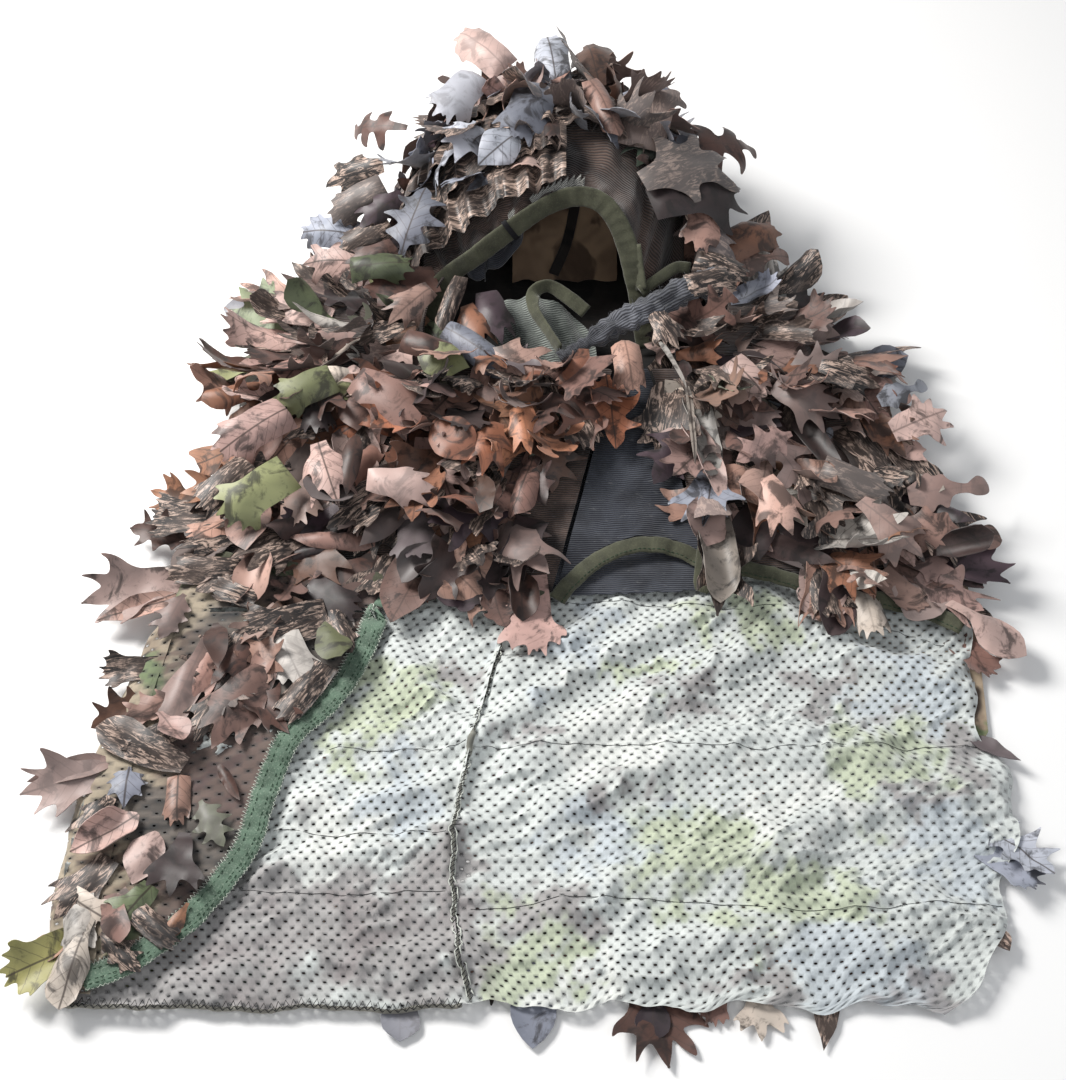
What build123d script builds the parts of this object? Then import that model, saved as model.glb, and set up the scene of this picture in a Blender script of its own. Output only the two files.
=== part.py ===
from build123d import *

import math
import os

# Leaf-covered camouflage cape with a hood, laid on its back on a flat surface
# with its front opening spread. Millimetres.
#
# +Z is up from the surface and +Y points from the hem to the crown of the hood.
# Left and right in the node names are the wearer's, so right is -X here.
# The origin is the bottom centre of the whole garment.
#
# Layers, from the surface up: leaves pressed flat under the back, the back panels
# with their inner face up, the front panels, and the mantle, which is the short
# cape sewn to the hood that covers the shoulders and chest.

# ---------------------------------------------------------------- dimensions
TIP_X = 362             # furthest leaf tip on each side
TIP_Y = 488             # furthest leaf tip past the hem and past the crown
HEM_Y = -450            # hem of the back panels
NECK_Y = 98             # the line where the hood, the mantle and the cape meet
NECK_GAP = 2            # from the neck line to the cloth on each side of it
CLEAR = 0.6             # gap between neighbours of one body

UNDER_LEAF = 4.0        # thickness of the leaves pressed under the garment
BACK_Z = UNDER_LEAF     # underside of the back panels, which lie on those leaves
BACK_CLOTH = 5.0        # bulk of a back panel with its wrinkles
BACK_TOP = BACK_Z + BACK_CLOTH
YOKE_CLOTH = 4.5
LEAF = 1.2              # thickness of one free leaf
LEAF_LONG = 64
LEAF_WIDE = 44

FRONT_Z = 12.5          # underside of the right front panel
FRONT_CLOTH = 3.5
FRONT_BINDING = 20      # width of the green binding on its free edge

MANTLE_Z = 42           # height of the mantle's underside at the neck line
MANTLE_SLOPE = 5        # degrees, down towards the hem
MANTLE_CLOTH = 5
MANTLE_BINDING = 15     # width of the olive binding on the mantle's hem
MANTLE_NECK = NECK_Y - NECK_GAP

HOOD_X = 15             # the hood lies a little to the wearer's left
HOOD_Z = BACK_TOP       # height of the lower rim of the hood's upper shell
HOOD_R = 124            # half width and height of the shell at its widest
HOOD_LONG = 152         # from the widest section to the crown
HOOD_MID_Y = 290        # place of the widest section
HOOD_FRONT_Y = 222      # plane of the face opening
HOOD_NECK_Y = NECK_Y + NECK_GAP
HOOD_WALL = 3.0
BRIM_LONG = 12          # width of the olive binding round the face opening
BRIM_DEEP = 9

VEIL_HINGE_Y = 112      # where the veil is sewn to the neck
VEIL_HINGE_Z = 20

# ---------------------------------------------------------------- outlines
# The centre back seam, from the shoulders to the hem.
SEAM = [(-6, MANTLE_NECK), (-20, -140), (-45, -248), (-40, HEM_Y)]
BACK_RIGHT_SIDE = [(-318, HEM_Y), (-304, -200), (-264, -60), (-248, MANTLE_NECK)]
BACK_LEFT_SIDE = [
    (262, HEM_Y), (304, -432), (317, -405), (331, -350), (346, -300), (345, -275),
    (332, -243), (334, -160), (326, -40), (262, MANTLE_NECK),
]
# The curved free edge of the right front panel, from the mantle to the hem.
FRONT_EDGE = [
    (-110, -128), (-120, -170), (-141, -214), (-169, -249), (-190, -327), (-232, -400), (-306, -444),
]
FRONT_SIDE = [(-298, -418), (-296, -300), (-272, -127)]
# The mantle's hem, from the right shoulder to the left, in three stretches.
MANTLE_HEM_RIGHT = [(-250, -72), (-180, -86), (-108, -96), (-30, -106), (14, -114)]
MANTLE_HEM_CENTRE = [(16, -115), (34, -92), (58, -73), (87, -64), (116, -68), (134, -78)]
MANTLE_HEM_LEFT = [(136, -79), (180, -90), (240, -106), (290, -120), (328, -140)]
# The hem of the mantle's back, which lies inside the cape and shows under the gore.
MANTLE_BACK_HEM = [(-94, -84), (0, -98), (70, -97), (146, -92)]
# The split between the mantle's panels and the dark gore, at the neck and the hem.
GORE_RIGHT = [(66, MANTLE_NECK), (15, -115)]
GORE_LEFT = [(98, MANTLE_NECK), (135, -79)]

# A lobed leaf as (share of its length, half width as a share of its width).
LEAF_SHAPE = [
    (0.0, 0.05), (0.14, 0.08), (0.24, 0.42), (0.34, 0.2), (0.5, 0.5),
    (0.62, 0.22), (0.78, 0.36), (0.86, 0.14),
]


# ---------------------------------------------------------------- helpers
def shifted(points, dx, dy):
    """The same outline points moved by dx and dy."""
    return [(x + dx, y + dy) for x, y in points]


def outline(*stretches):
    """A face bounded by stretches: two points make a straight edge, more make a smooth curve."""
    edges = [Line(*s) if len(s) == 2 else Spline(*s) for s in stretches]
    return make_face(edges)


def slab(face, bottom, thickness):
    """A flat solid standing on the given height."""
    return Pos(0, 0, bottom) * extrude(face, thickness, dir=(0, 0, 1))


def ribbon(points, width):
    """A strip as wide as given, on the left-hand side of a smooth line through the points."""
    far = []
    for i, (x, y) in enumerate(points):
        before, after = points[max(i - 1, 0)], points[min(i + 1, len(points) - 1)]
        along = Vector(after[0] - before[0], after[1] - before[1]).normalized()
        far.append((x - along.Y * width, y + along.X * width))
    back = far[::-1]
    return outline(points, [points[-1], back[0]], back, [back[-1], points[0]])


def leaf(length=LEAF_LONG, width=LEAF_WIDE, thickness=LEAF):
    """One lobed leaf lying on z = 0, its stalk at the origin and its tip towards -Y."""
    right = [(w * width, -t * length) for t, w in LEAF_SHAPE]
    left = [(-x, y) for x, y in right]
    points = right + [(0, -length)] + left[::-1]
    return extrude(make_face(Polyline(*points, close=True)), thickness, dir=(0, 0, 1))


def leaf_row(starts, heading, height, length=LEAF_LONG, width=LEAF_WIDE):
    """Leaves lying flat at one height; headings alternate about straight down the garment."""
    row = []
    for i, (x, y) in enumerate(starts):
        turn = heading * (1 if i % 2 else -1)
        row.append(Pos(x, y, height) * Rot(0, 0, turn) * leaf(length, width))
    return row


def leafy_strip(x_right, x_left, top, root, tip, leaves):
    """A strip of leaf cloth: a straight sewn edge and one lobe for each leaf."""
    pitch = (x_left - x_right) / leaves
    points = [(x_left, top), (x_right, top)]
    for i in range(leaves):
        middle = x_right + pitch * (i + 0.5)
        points += [
            (middle - 0.5 * pitch, root),
            (middle - 0.24 * pitch, 0.55 * root + 0.45 * tip),
            (middle, tip),
            (middle + 0.24 * pitch, 0.55 * root + 0.45 * tip),
        ]
    points.append((x_left, root))
    return slab(make_face(Polyline(*points, close=True)), 0, UNDER_LEAF)


def on_mantle(shape):
    """Tilts what was drawn flat, with the mantle's underside at z = 0, to the mantle's slope."""
    return Pos(0, NECK_Y, MANTLE_Z) * Rot(MANTLE_SLOPE, 0, 0) * Pos(0, -NECK_Y, 0) * shape


def on_hood(around, along, shape, lift=0.4):
    """Puts a shape flat on the hood's shell, its own -Y towards the face opening.
    around is the angle from the right rim over the top, along is 0 at the widest section."""
    a, b = math.radians(around), math.radians(along)
    normal = Vector(math.cos(b) / HOOD_R, math.sin(b) / HOOD_LONG).normalized()
    out = Vector(-math.cos(a), 0, math.sin(a))
    across = Vector(math.sin(a), 0, math.cos(a))
    up = out * normal.X + Vector(0, 1, 0) * normal.Y
    radius = HOOD_R * math.cos(b)
    at = Vector(HOOD_X, HOOD_MID_Y + HOOD_LONG * math.sin(b), HOOD_Z) + out * radius
    return Plane(origin=at + up * lift, x_dir=across, z_dir=up).location * shape


# ---------------------------------------------------------------- the back of the cape
def back_panels():
    right_seam, left_seam = shifted(SEAM, -2, 0), shifted(SEAM, 2, 0)
    right = outline(
        right_seam,
        [right_seam[-1], BACK_RIGHT_SIDE[0]],
        BACK_RIGHT_SIDE,
        [BACK_RIGHT_SIDE[-1], right_seam[0]],
    )
    left = outline(
        left_seam,
        [left_seam[-1], BACK_LEFT_SIDE[0]],
        BACK_LEFT_SIDE,
        [BACK_LEFT_SIDE[-1], left_seam[0]],
    )
    return {
        "back_panel_right": slab(right, BACK_Z, BACK_CLOTH),
        "back_panel_left": slab(left, BACK_Z, BACK_CLOTH),
    }


def back_trim():
    """The centre back seam and the overlocked hem of the right half."""
    seam_wide, hem_wide = 2.6, 7
    seam = ribbon(shifted(SEAM, seam_wide / 2, 0), -seam_wide)
    hem = outline(
        [(-316, HEM_Y - CLEAR), (-46, HEM_Y - CLEAR)],
        [(-46, HEM_Y - CLEAR), (-46, HEM_Y - hem_wide)],
        [(-46, HEM_Y - hem_wide), (-316, HEM_Y - hem_wide)],
        [(-316, HEM_Y - hem_wide), (-316, HEM_Y - CLEAR)],
    )
    return {
        "centre_back_seam": slab(seam, BACK_Z, BACK_CLOTH + 1),
        "hem_overlock": slab(hem, BACK_Z, 3),
    }


def back_leaves():
    """Strips of leaves on the outside of the back, pressed flat against the surface."""
    strips = {
        "back_leaf_strip_1": leafy_strip(-190, 190, 90, 44, 16, 6),
        "back_leaf_strip_2": leafy_strip(-220, 218, -10, -62, -92, 7),
        "back_leaf_strip_3": leafy_strip(-250, 218, -130, -182, -212, 8),
        "back_leaf_strip_4": leafy_strip(-262, 218, -250, -302, -332, 8),
        "back_leaf_strip_5": leafy_strip(-270, 250, -368, -446, -TIP_Y, 9),
    }
    tip_long = 76
    right = [
        Pos(-TIP_X + tip_long, y, 0) * Rot(0, 0, -90) * leaf(tip_long, 40, UNDER_LEAF)
        for y in (-190, -245, -335)
    ]
    left = [
        Pos(TIP_X - tip_long, y, 0) * Rot(0, 0, 90) * leaf(tip_long, 40, UNDER_LEAF)
        for y in (-300, -345)
    ]
    strips["side_leaves_right"] = Compound(children=right)
    strips["side_leaves_left"] = Compound(children=left)
    return strips


def shoulders():
    """What lies inside the cape under the mantle, and the shoulders beside the hood."""
    right_yoke = outline(
        [(-240, -76), (-102, -98)],
        [(-102, -98), (-90, 86)],
        [(-90, 86), (-214, 86)],
        [(-214, 86), (-240, -76)],
    )
    left_yoke = outline(
        [(154, -84), (304, -118)],
        [(304, -118), (248, 86)],
        [(248, 86), (142, 86)],
        [(142, 86), (154, -84)],
    )
    mantle_back = outline(
        MANTLE_BACK_HEM,
        [MANTLE_BACK_HEM[-1], (134, 90)],
        [(134, 90), (-84, 90)],
        [(-84, 90), MANTLE_BACK_HEM[0]],
    )
    right_end = outline(
        [(-124, HOOD_NECK_Y), (-234, HOOD_NECK_Y)],
        [(-234, HOOD_NECK_Y), (-222, 160), (-178, 214), (-124, 226)],
        [(-124, 226), (-124, HOOD_NECK_Y)],
    )
    left_end = outline(
        [(154, HOOD_NECK_Y), (252, HOOD_NECK_Y)],
        [(252, HOOD_NECK_Y), (240, 160), (206, 206), (154, 222)],
        [(154, 222), (154, HOOD_NECK_Y)],
    )
    end_cloth = 34
    leaves_z = BACK_Z + end_cloth
    return {
        "yoke_right": slab(right_yoke, BACK_TOP, YOKE_CLOTH),
        "yoke_left": slab(left_yoke, BACK_TOP, YOKE_CLOTH),
        "mantle_back_panel": slab(mantle_back, BACK_TOP + 1, YOKE_CLOTH - 1),
        "shoulder_right": slab(right_end, BACK_Z, end_cloth),
        "shoulder_left": slab(left_end, BACK_Z, end_cloth),
        "shoulder_leaves_right": Compound(children=leaf_row([(-150, 196), (-198, 172)], 6, leaves_z)),
        "shoulder_leaves_left": Compound(children=leaf_row([(180, 194), (228, 168)], 6, leaves_z)),
    }


# ---------------------------------------------------------------- the front panels
def right_front():
    """The front panel that lies over the back: cloth, green binding and rows of leaves."""
    binding = ribbon(FRONT_EDGE, -FRONT_BINDING)
    whole = outline(
        FRONT_EDGE,
        [FRONT_EDGE[-1], FRONT_SIDE[0]],
        FRONT_SIDE,
        [FRONT_SIDE[-1], FRONT_EDGE[0]],
    )
    cloth = (whole - ribbon(FRONT_EDGE, -FRONT_BINDING - CLEAR)).faces().sort_by(SortBy.AREA)[-1]
    leaves_z = FRONT_Z + FRONT_CLOTH
    rows = [
        [(-246, -130), (-196, -130), (-146, -130)],
        [(-256, -202), (-206, -202), (-160, -190)],
        [(-262, -274), (-212, -274)],
        [(-266, -346), (-218, -340)],
    ]
    made = {
        "right_front_panel": slab(cloth, FRONT_Z, FRONT_CLOTH),
        "right_front_binding": slab(binding, FRONT_Z, FRONT_CLOTH),
    }
    for i, starts in enumerate(rows, 1):
        row = leaf_row(starts, 8, leaves_z)
        made[f"right_front_leaves_{i}"] = Compound(children=row)
    return made


def left_front():
    """The other front panel, folded away under the back so that only its fold shows."""
    cloth = outline(
        [(236, 60), (236, -236)],
        [(236, -236), (336, -236)],
        [(336, -236), (340, -160), (334, -40), (296, 60)],
        [(296, 60), (236, 60)],
    )
    binding = outline(
        [(222, 60), (222, -236)],
        [(222, -236), (236 - CLEAR, -236)],
        [(236 - CLEAR, -236), (236 - CLEAR, 60)],
        [(236 - CLEAR, 60), (222, 60)],
    )
    return {
        "left_front_panel": slab(cloth, 0, UNDER_LEAF),
        "left_front_binding": slab(binding, 0, UNDER_LEAF),
    }


# ---------------------------------------------------------------- the mantle
def mantle():
    """The short cape sewn to the hood: two leafy panels, a bare gore and an olive hem."""
    side_right = [(-250, -72), (-236, 10), (-218, MANTLE_NECK)]
    side_left = [(328, -140), (300, -20), (256, MANTLE_NECK)]
    right = outline(
        MANTLE_HEM_RIGHT,
        [MANTLE_HEM_RIGHT[-1], GORE_RIGHT[0]],
        [GORE_RIGHT[0], side_right[-1]],
        side_right[::-1],
    )
    left = outline(
        MANTLE_HEM_LEFT,
        side_left,
        [side_left[-1], GORE_LEFT[0]],
        [GORE_LEFT[0], MANTLE_HEM_LEFT[0]],
    )
    gore_right, gore_left = shifted(GORE_RIGHT, 2.5, 0), shifted(GORE_LEFT, -2.5, 0)
    hem = [gore_right[1], *MANTLE_HEM_CENTRE[1:-1], gore_left[1]]
    gore = outline(
        hem,
        [gore_left[1], gore_left[0]],
        [gore_left[0], gore_right[0]],
        [gore_right[0], gore_right[1]],
    )
    made = {
        "mantle_panel_right": slab(right, 0, MANTLE_CLOTH),
        "mantle_panel_left": slab(left, 0, MANTLE_CLOTH),
        "mantle_gore": slab(gore, 0, MANTLE_CLOTH - 1),
    }
    drop = CLEAR + MANTLE_BINDING
    hems = {"right": MANTLE_HEM_RIGHT, "centre": hem, "left": MANTLE_HEM_LEFT}
    for side, points in hems.items():
        upper = shifted(points, 0, -CLEAR)
        lower = shifted(points, 0, -drop)[::-1]
        strip = outline(upper, [upper[-1], lower[0]], lower, [lower[-1], upper[0]])
        made[f"mantle_binding_{side}"] = slab(strip, 0, MANTLE_CLOTH)
    leaves_z = MANTLE_CLOTH
    rows = {
        "mantle_leaves_right_1": [(-196 + 54 * i, 88) for i in range(5)],
        "mantle_leaves_right_2": [(-212 + 54 * i, 20) for i in range(5)],
        "mantle_leaves_right_3": [(-222 + 54 * i, -48 - i) for i in range(5)],
        "mantle_leaves_left_1": [(126 + 52 * i, 88) for i in range(3)],
        "mantle_leaves_left_2": [(142 + 52 * i, 18) for i in range(3)],
        "mantle_leaves_left_3": [(158 + 54 * i, -52 - 6 * i) for i in range(4)],
    }
    for name, starts in rows.items():
        made[name] = Compound(children=leaf_row(starts, 7, leaves_z))
    return {name: on_mantle(shape) for name, shape in made.items()}


# ---------------------------------------------------------------- the hood
def hood_profile(grow_in, grow_out):
    """The shell's half section between two offsets, drawn in the XY plane beside the Y axis."""
    start = math.asin((HOOD_FRONT_Y - HOOD_MID_Y) / HOOD_LONG)
    curves = []
    for grow in (grow_in, grow_out):
        angles = [start + (math.pi / 2 - start) * i / 8 for i in range(9)]
        points = [
            ((HOOD_R + grow) * math.cos(a), HOOD_MID_Y + (HOOD_LONG + grow) * math.sin(a))
            for a in angles[:-1]
        ]
        points.append((0, HOOD_MID_Y + HOOD_LONG + grow))
        curves.append(Spline(*points))
    inner, outer = curves
    return make_face([inner, Line(inner @ 1, outer @ 1), outer, Line(outer @ 0, inner @ 0)])


def turned(face, first, last):
    """Turns a half section about the hood's long axis, from one angle to another.
    Angles run from the right rim, over the top, to the left rim."""
    axis = Axis((0, 0, 0), (0, 1, 0))
    start = face.rotate(axis, first - 180)
    return Pos(HOOD_X, 0, HOOD_Z) * revolve(start, axis, last - first)


def hood_shells():
    seam_half = 0.4
    wall = hood_profile(-HOOD_WALL, 0)
    seam = hood_profile(CLEAR, CLEAR + 1.6)
    brim_r = HOOD_R * math.sqrt(1 - ((HOOD_FRONT_Y - HOOD_MID_Y) / HOOD_LONG) ** 2)
    brim = Pos(brim_r - BRIM_DEEP / 2 + 1, HOOD_FRONT_Y - CLEAR - BRIM_LONG / 2) * Rectangle(
        BRIM_DEEP, BRIM_LONG
    )
    tack_angle, tack_long = math.radians(110), 2.4
    tack_at = brim_r - BRIM_DEEP / 2
    tack = Pos(
        HOOD_X - tack_at * math.sin(tack_angle - math.pi / 2),
        HOOD_FRONT_Y - CLEAR - BRIM_LONG - tack_long - 0.1,
        HOOD_Z + tack_at * math.cos(tack_angle - math.pi / 2),
    )
    return {
        "hood_shell_right": turned(wall, 0, 90 - seam_half),
        "hood_shell_left": turned(wall, 90 + seam_half, 180),
        "hood_centre_seam": turned(seam, 87, 93),
        "face_binding": turned(brim, 0, 180),
        "binding_tack": tack * Rot(-90, 0, 0) * Cylinder(3.2, tack_long, align=(Align.CENTER, Align.CENTER, Align.MIN)),
    }


def hood_neck():
    """The back of the hood on the surface, the two cheeks and the folds beside the face."""
    rim = HOOD_R - 6
    back = outline(
        [(HOOD_X - 112, HOOD_NECK_Y), (HOOD_X + 112, HOOD_NECK_Y)],
        [
            (HOOD_X + 112, HOOD_NECK_Y),
            (HOOD_X + rim, HOOD_MID_Y),
            (HOOD_X, HOOD_MID_Y + HOOD_LONG - 4),
            (HOOD_X - rim, HOOD_MID_Y),
            (HOOD_X - 112, HOOD_NECK_Y),
        ],
    )
    front, top_front, top_back = HOOD_NECK_Y, 50, 92
    side_end = HOOD_FRONT_Y - CLEAR - BRIM_LONG - 3.5
    side = [(front, HOOD_Z), (front, top_front), (side_end, top_back), (side_end, HOOD_Z)]
    cheek = extrude(Plane.YZ * make_face(Polyline(*side, close=True)), 4, dir=(1, 0, 0))
    flap = [(-66, 40), (-22, 36), (-18, 78), (-42, 96), (-68, 76)]
    net = extrude(Plane.XZ * make_face(Polyline(*flap, close=True)), 1.5, dir=(0, 1, 0))
    fold = [(front + 6, 14), (front + 8, 34), (side_end, 46), (side_end, 14)]
    corner = extrude(Plane.YZ * make_face(Polyline(*fold, close=True)), 5, dir=(1, 0, 0))
    return {
        "hood_back_panel": slab(back, BACK_Z, BACK_CLOTH),
        "hood_cheek_right": Pos(HOOD_X - 108, 0, 0) * cheek,
        "hood_cheek_left": Pos(HOOD_X + 104, 0, 0) * cheek,
        "inner_mesh_flap": Pos(0, HOOD_FRONT_Y + 3, 0) * net,
        "face_binding_corner": Pos(HOOD_X + 96, 0, 0) * corner,
    }


def hood_leaves():
    """Leaves over the shell in rows, a few standing on the crest, and strips beneath."""
    long, wide = 56, 42
    lie = Pos(0, long / 2, 0) * leaf(long, wide)
    rows = {
        "hood_leaves_brow": (-13, (18, 46, 74, 106, 134, 162)),
        "hood_leaves_middle": (12, (18, 46, 74, 106, 134, 162)),
        "hood_leaves_back": (37, (22, 58, 122, 158)),
        "hood_leaves_crown": (61, (40, 140)),
    }
    made = {}
    for name, (along, angles) in rows.items():
        made[name] = Compound(children=[on_hood(a, along, lie) for a in angles])
    stand = Pos(0, LEAF / 2, 0) * Rot(-90, 0, 0) * leaf(40, 36)
    crest = [on_hood(90, along, stand, 3.5) for along in (-10, 14, 38)]
    made["hood_leaves_crest"] = Compound(children=crest)
    cheek_leaf = Rot(0, 90, 0) * leaf(38, 30)
    right = [Pos(HOOD_X - 111, y, z) * cheek_leaf for y, z in ((192, 50), (148, 36))]
    left = [Pos(HOOD_X + 110, y, z) * cheek_leaf for y, z in ((192, 50), (148, 36))]
    made["cheek_leaves_right"] = Compound(children=right)
    made["cheek_leaves_left"] = Compound(children=left)
    made["crown_under_leaves"] = leafy_strip(HOOD_X - 66, HOOD_X + 66, 376, 438, TIP_Y, 3)
    made["neck_under_leaves"] = leafy_strip(HOOD_X - 96, HOOD_X + 96, 262, 226, 202, 4)
    return made


# ---------------------------------------------------------------- the face veil
def veil():
    """The net veil that closes the lower face, lying slack, with its olive bound edge."""
    slope = 16
    cloth = outline(
        [(-52, 0), (52, 0)],
        [(52, 0), (46, 40), (10, 66), (-34, 62), (-52, 0)],
    )
    panel = extrude(cloth, 3, dir=(0, 0, 1))
    loop = [(48, 8), (30, 44), (24, 62), (34, 74), (52, 66), (76, 52)]
    edge = slab(ribbon(loop, 3.5), 3, 8.5)
    place = Pos(0, VEIL_HINGE_Y, VEIL_HINGE_Z) * Rot(slope, 0, 0)
    return {"veil_panel": place * panel, "veil_binding": place * edge}


def build():
    nodes = {}
    for section in (
        back_panels, back_trim, back_leaves, shoulders, right_front, left_front,
        mantle, hood_shells, hood_neck, hood_leaves, veil,
    ):
        nodes.update(section())
    return nodes


os.makedirs("parts", exist_ok=True)
for old in os.listdir("parts"):
    os.remove(os.path.join("parts", old))
NODES = build()
for name, shape in NODES.items():
    export_step(shape, f"parts/{name}.step")
everything = Compound(children=[shape for shape in NODES.values()]).bounding_box()
print(len(NODES), "nodes, box", everything.min, everything.max)
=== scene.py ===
import math

import bpy
import numpy as np
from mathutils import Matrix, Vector
from mathutils.geometry import delaunay_2d_cdt


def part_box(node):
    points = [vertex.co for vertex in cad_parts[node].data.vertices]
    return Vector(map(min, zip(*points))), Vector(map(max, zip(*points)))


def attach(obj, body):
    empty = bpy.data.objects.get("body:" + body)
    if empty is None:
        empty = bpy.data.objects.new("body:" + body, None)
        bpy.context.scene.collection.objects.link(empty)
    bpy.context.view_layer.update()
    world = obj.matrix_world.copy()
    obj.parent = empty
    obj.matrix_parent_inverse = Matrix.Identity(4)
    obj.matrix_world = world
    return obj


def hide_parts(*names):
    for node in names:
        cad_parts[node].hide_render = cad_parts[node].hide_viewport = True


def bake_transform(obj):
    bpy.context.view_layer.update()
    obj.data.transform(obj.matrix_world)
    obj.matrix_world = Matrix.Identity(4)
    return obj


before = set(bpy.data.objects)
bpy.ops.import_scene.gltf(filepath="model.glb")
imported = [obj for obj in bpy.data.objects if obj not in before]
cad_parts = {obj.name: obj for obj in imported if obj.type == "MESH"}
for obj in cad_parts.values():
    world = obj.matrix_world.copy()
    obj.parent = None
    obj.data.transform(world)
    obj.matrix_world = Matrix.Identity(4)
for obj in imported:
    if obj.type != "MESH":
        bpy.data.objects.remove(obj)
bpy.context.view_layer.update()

# Metres, in the frame of the CAD model: +Z up, +Y from the hem to the crown.
# "Right" and "left" are the wearer's, so right is -X.
X, Y, Z = 0, 1, 2

NECK_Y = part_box("mantle_panel_right")[1].y     # the line where hood, mantle and cape meet
HEM_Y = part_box("back_panel_left")[0].y
BACK_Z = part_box("back_panel_left")[0].z        # underside of the back panels
BACK_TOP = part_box("back_panel_left")[1].z
FRONT_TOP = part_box("right_front_panel")[1].z
CEILING = 0.186                                # no leaf stands higher than this
THREAD = 0.00035                               # radius of a sewing thread
HOLE_PITCH_X = 0.0084                          # from hole to hole across the mesh
HOLE_PITCH_Y = 0.0050                          # from row to row, each row half a pitch aside
HOLE = (0.00130, 0.00080)                      # half width and half height of a hole
LEAF_CLOTH = 0.00045                           # thickness of a leaf
NET_CLOTH = 0.0014                             # thickness of the ribbed net
CLOTH_BEND = 75                                # degrees; a sharper turn of a cloth is shaded as an edge
LEAF_BEND = 65
UP = (0, 0, 1)


# ---------------------------------------------------------------- reading the frame
EDGES = {}


def edges_of(node):
    """End points of every edge of a CAD node's mesh, as pairs."""
    if node not in EDGES:
        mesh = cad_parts[node].data
        points = np.array([v.co for v in mesh.vertices])
        EDGES[node] = points[np.array([e.vertices[:] for e in mesh.edges])]
    return EDGES[node]


def cut(node, along, at, measure):
    """Lowest and highest coordinate on one axis where a plane across another axis cuts a node."""
    low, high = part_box(node)
    at = min(max(at, low[along] + 1e-4), high[along] - 1e-4)
    start, end = edges_of(node)[:, 0], edges_of(node)[:, 1]
    crossing = (start[:, along] - at) * (end[:, along] - at) < 0
    start, end = start[crossing], end[crossing]
    share = (at - start[:, along]) / (end[:, along] - start[:, along])
    found = start[:, measure] + share * (end[:, measure] - start[:, measure])
    return found.min(), found.max()


def profile(node, along, values, measure, side):
    """The node's lowest (side 0) or highest (side 1) coordinate at each of many cuts."""
    return np.array([cut(node, along, v, measure)[side] for v in values])


# ---------------------------------------------------------------- numbers and curves
def rng(seed):
    return np.random.default_rng(seed)


def unit(v):
    """Vectors made 1 long."""
    v = np.asarray(v, float)
    return v / np.maximum(np.linalg.norm(v, axis=-1, keepdims=True), 1e-12)


def ease(t, low=0.0, high=1.0):
    """0 below low, 1 above high, smooth between."""
    t = np.clip((np.asarray(t, float) - low) / (high - low), 0, 1)
    return t * t * (3 - 2 * t)


def ripple(x, y, seed, scale, octaves=3):
    """Smooth noise from about -1 to 1: waves in many directions. seed picks the pattern and
    scale is the waves' longest length."""
    draw = rng(seed)
    total, weight = np.zeros(np.broadcast(x, y).shape), 0.0
    for octave in range(octaves):
        size = scale / 1.9 ** octave
        for _ in range(5):
            angle, phase = draw.uniform(0, math.tau, 2)
            stretch = draw.uniform(0.7, 1.4)
            wave = (x * math.cos(angle) + y * math.sin(angle)) * math.tau / (size * stretch)
            total = total + np.sin(wave + phase) * 0.62 ** octave
        weight += 5 ** 0.5 * 0.62 ** octave
    return total / weight


def curve(points, step):
    """A smooth line through given points, in even steps."""
    p = np.asarray(points, float)
    ends = np.vstack([2 * p[0] - p[1], p, 2 * p[-1] - p[-2]])
    fine = []
    for i in range(len(p) - 1):
        a, b, c, d = ends[i:i + 4]
        t = np.linspace(0, 1, 24, endpoint=False)[:, None]
        fine.append(0.5 * (2 * b + (c - a) * t + (2 * a - 5 * b + 4 * c - d) * t ** 2
                           + (3 * b - a - 3 * c + d) * t ** 3))
    fine = np.vstack([*fine, p[-1:]])
    return even(fine, step)


def along_line(points):
    """How far along a line each of its points is."""
    return np.r_[0, np.cumsum(np.linalg.norm(np.diff(points, axis=0), axis=1))]


def even(line, step):
    """The same line with its points a step apart."""
    line = np.asarray(line, float)
    lengths = along_line(line)
    count = max(int(round(lengths[-1] / step)), 2)
    at = np.linspace(0, lengths[-1], count + 1)
    return np.column_stack([np.interp(at, lengths, line[:, i]) for i in range(line.shape[1])])


def respaced(values, count):
    """Vectors along a line, given for other points of it or once for all, at count points."""
    values = np.atleast_2d(np.asarray(values, float))
    share, old = np.linspace(0, 1, count), np.linspace(0, 1, len(values))
    return np.column_stack([np.interp(share, old, values[:, k]) for k in range(values.shape[1])])


def tangents(line):
    """The line's direction at each of its points."""
    return unit(np.gradient(line, axis=0))


def at_point(height, x, y):
    """Height of a surface at one point."""
    return float(height(np.array(x), np.array(y)))


def srgb(r, g, b):
    """A colour as seen on a screen, 0 to 255, in the linear values that a shader takes."""
    c = np.array([r, g, b], float) / 255
    return np.where(c <= 0.04045, c / 12.92, ((c + 0.055) / 1.055) ** 2.4)


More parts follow.
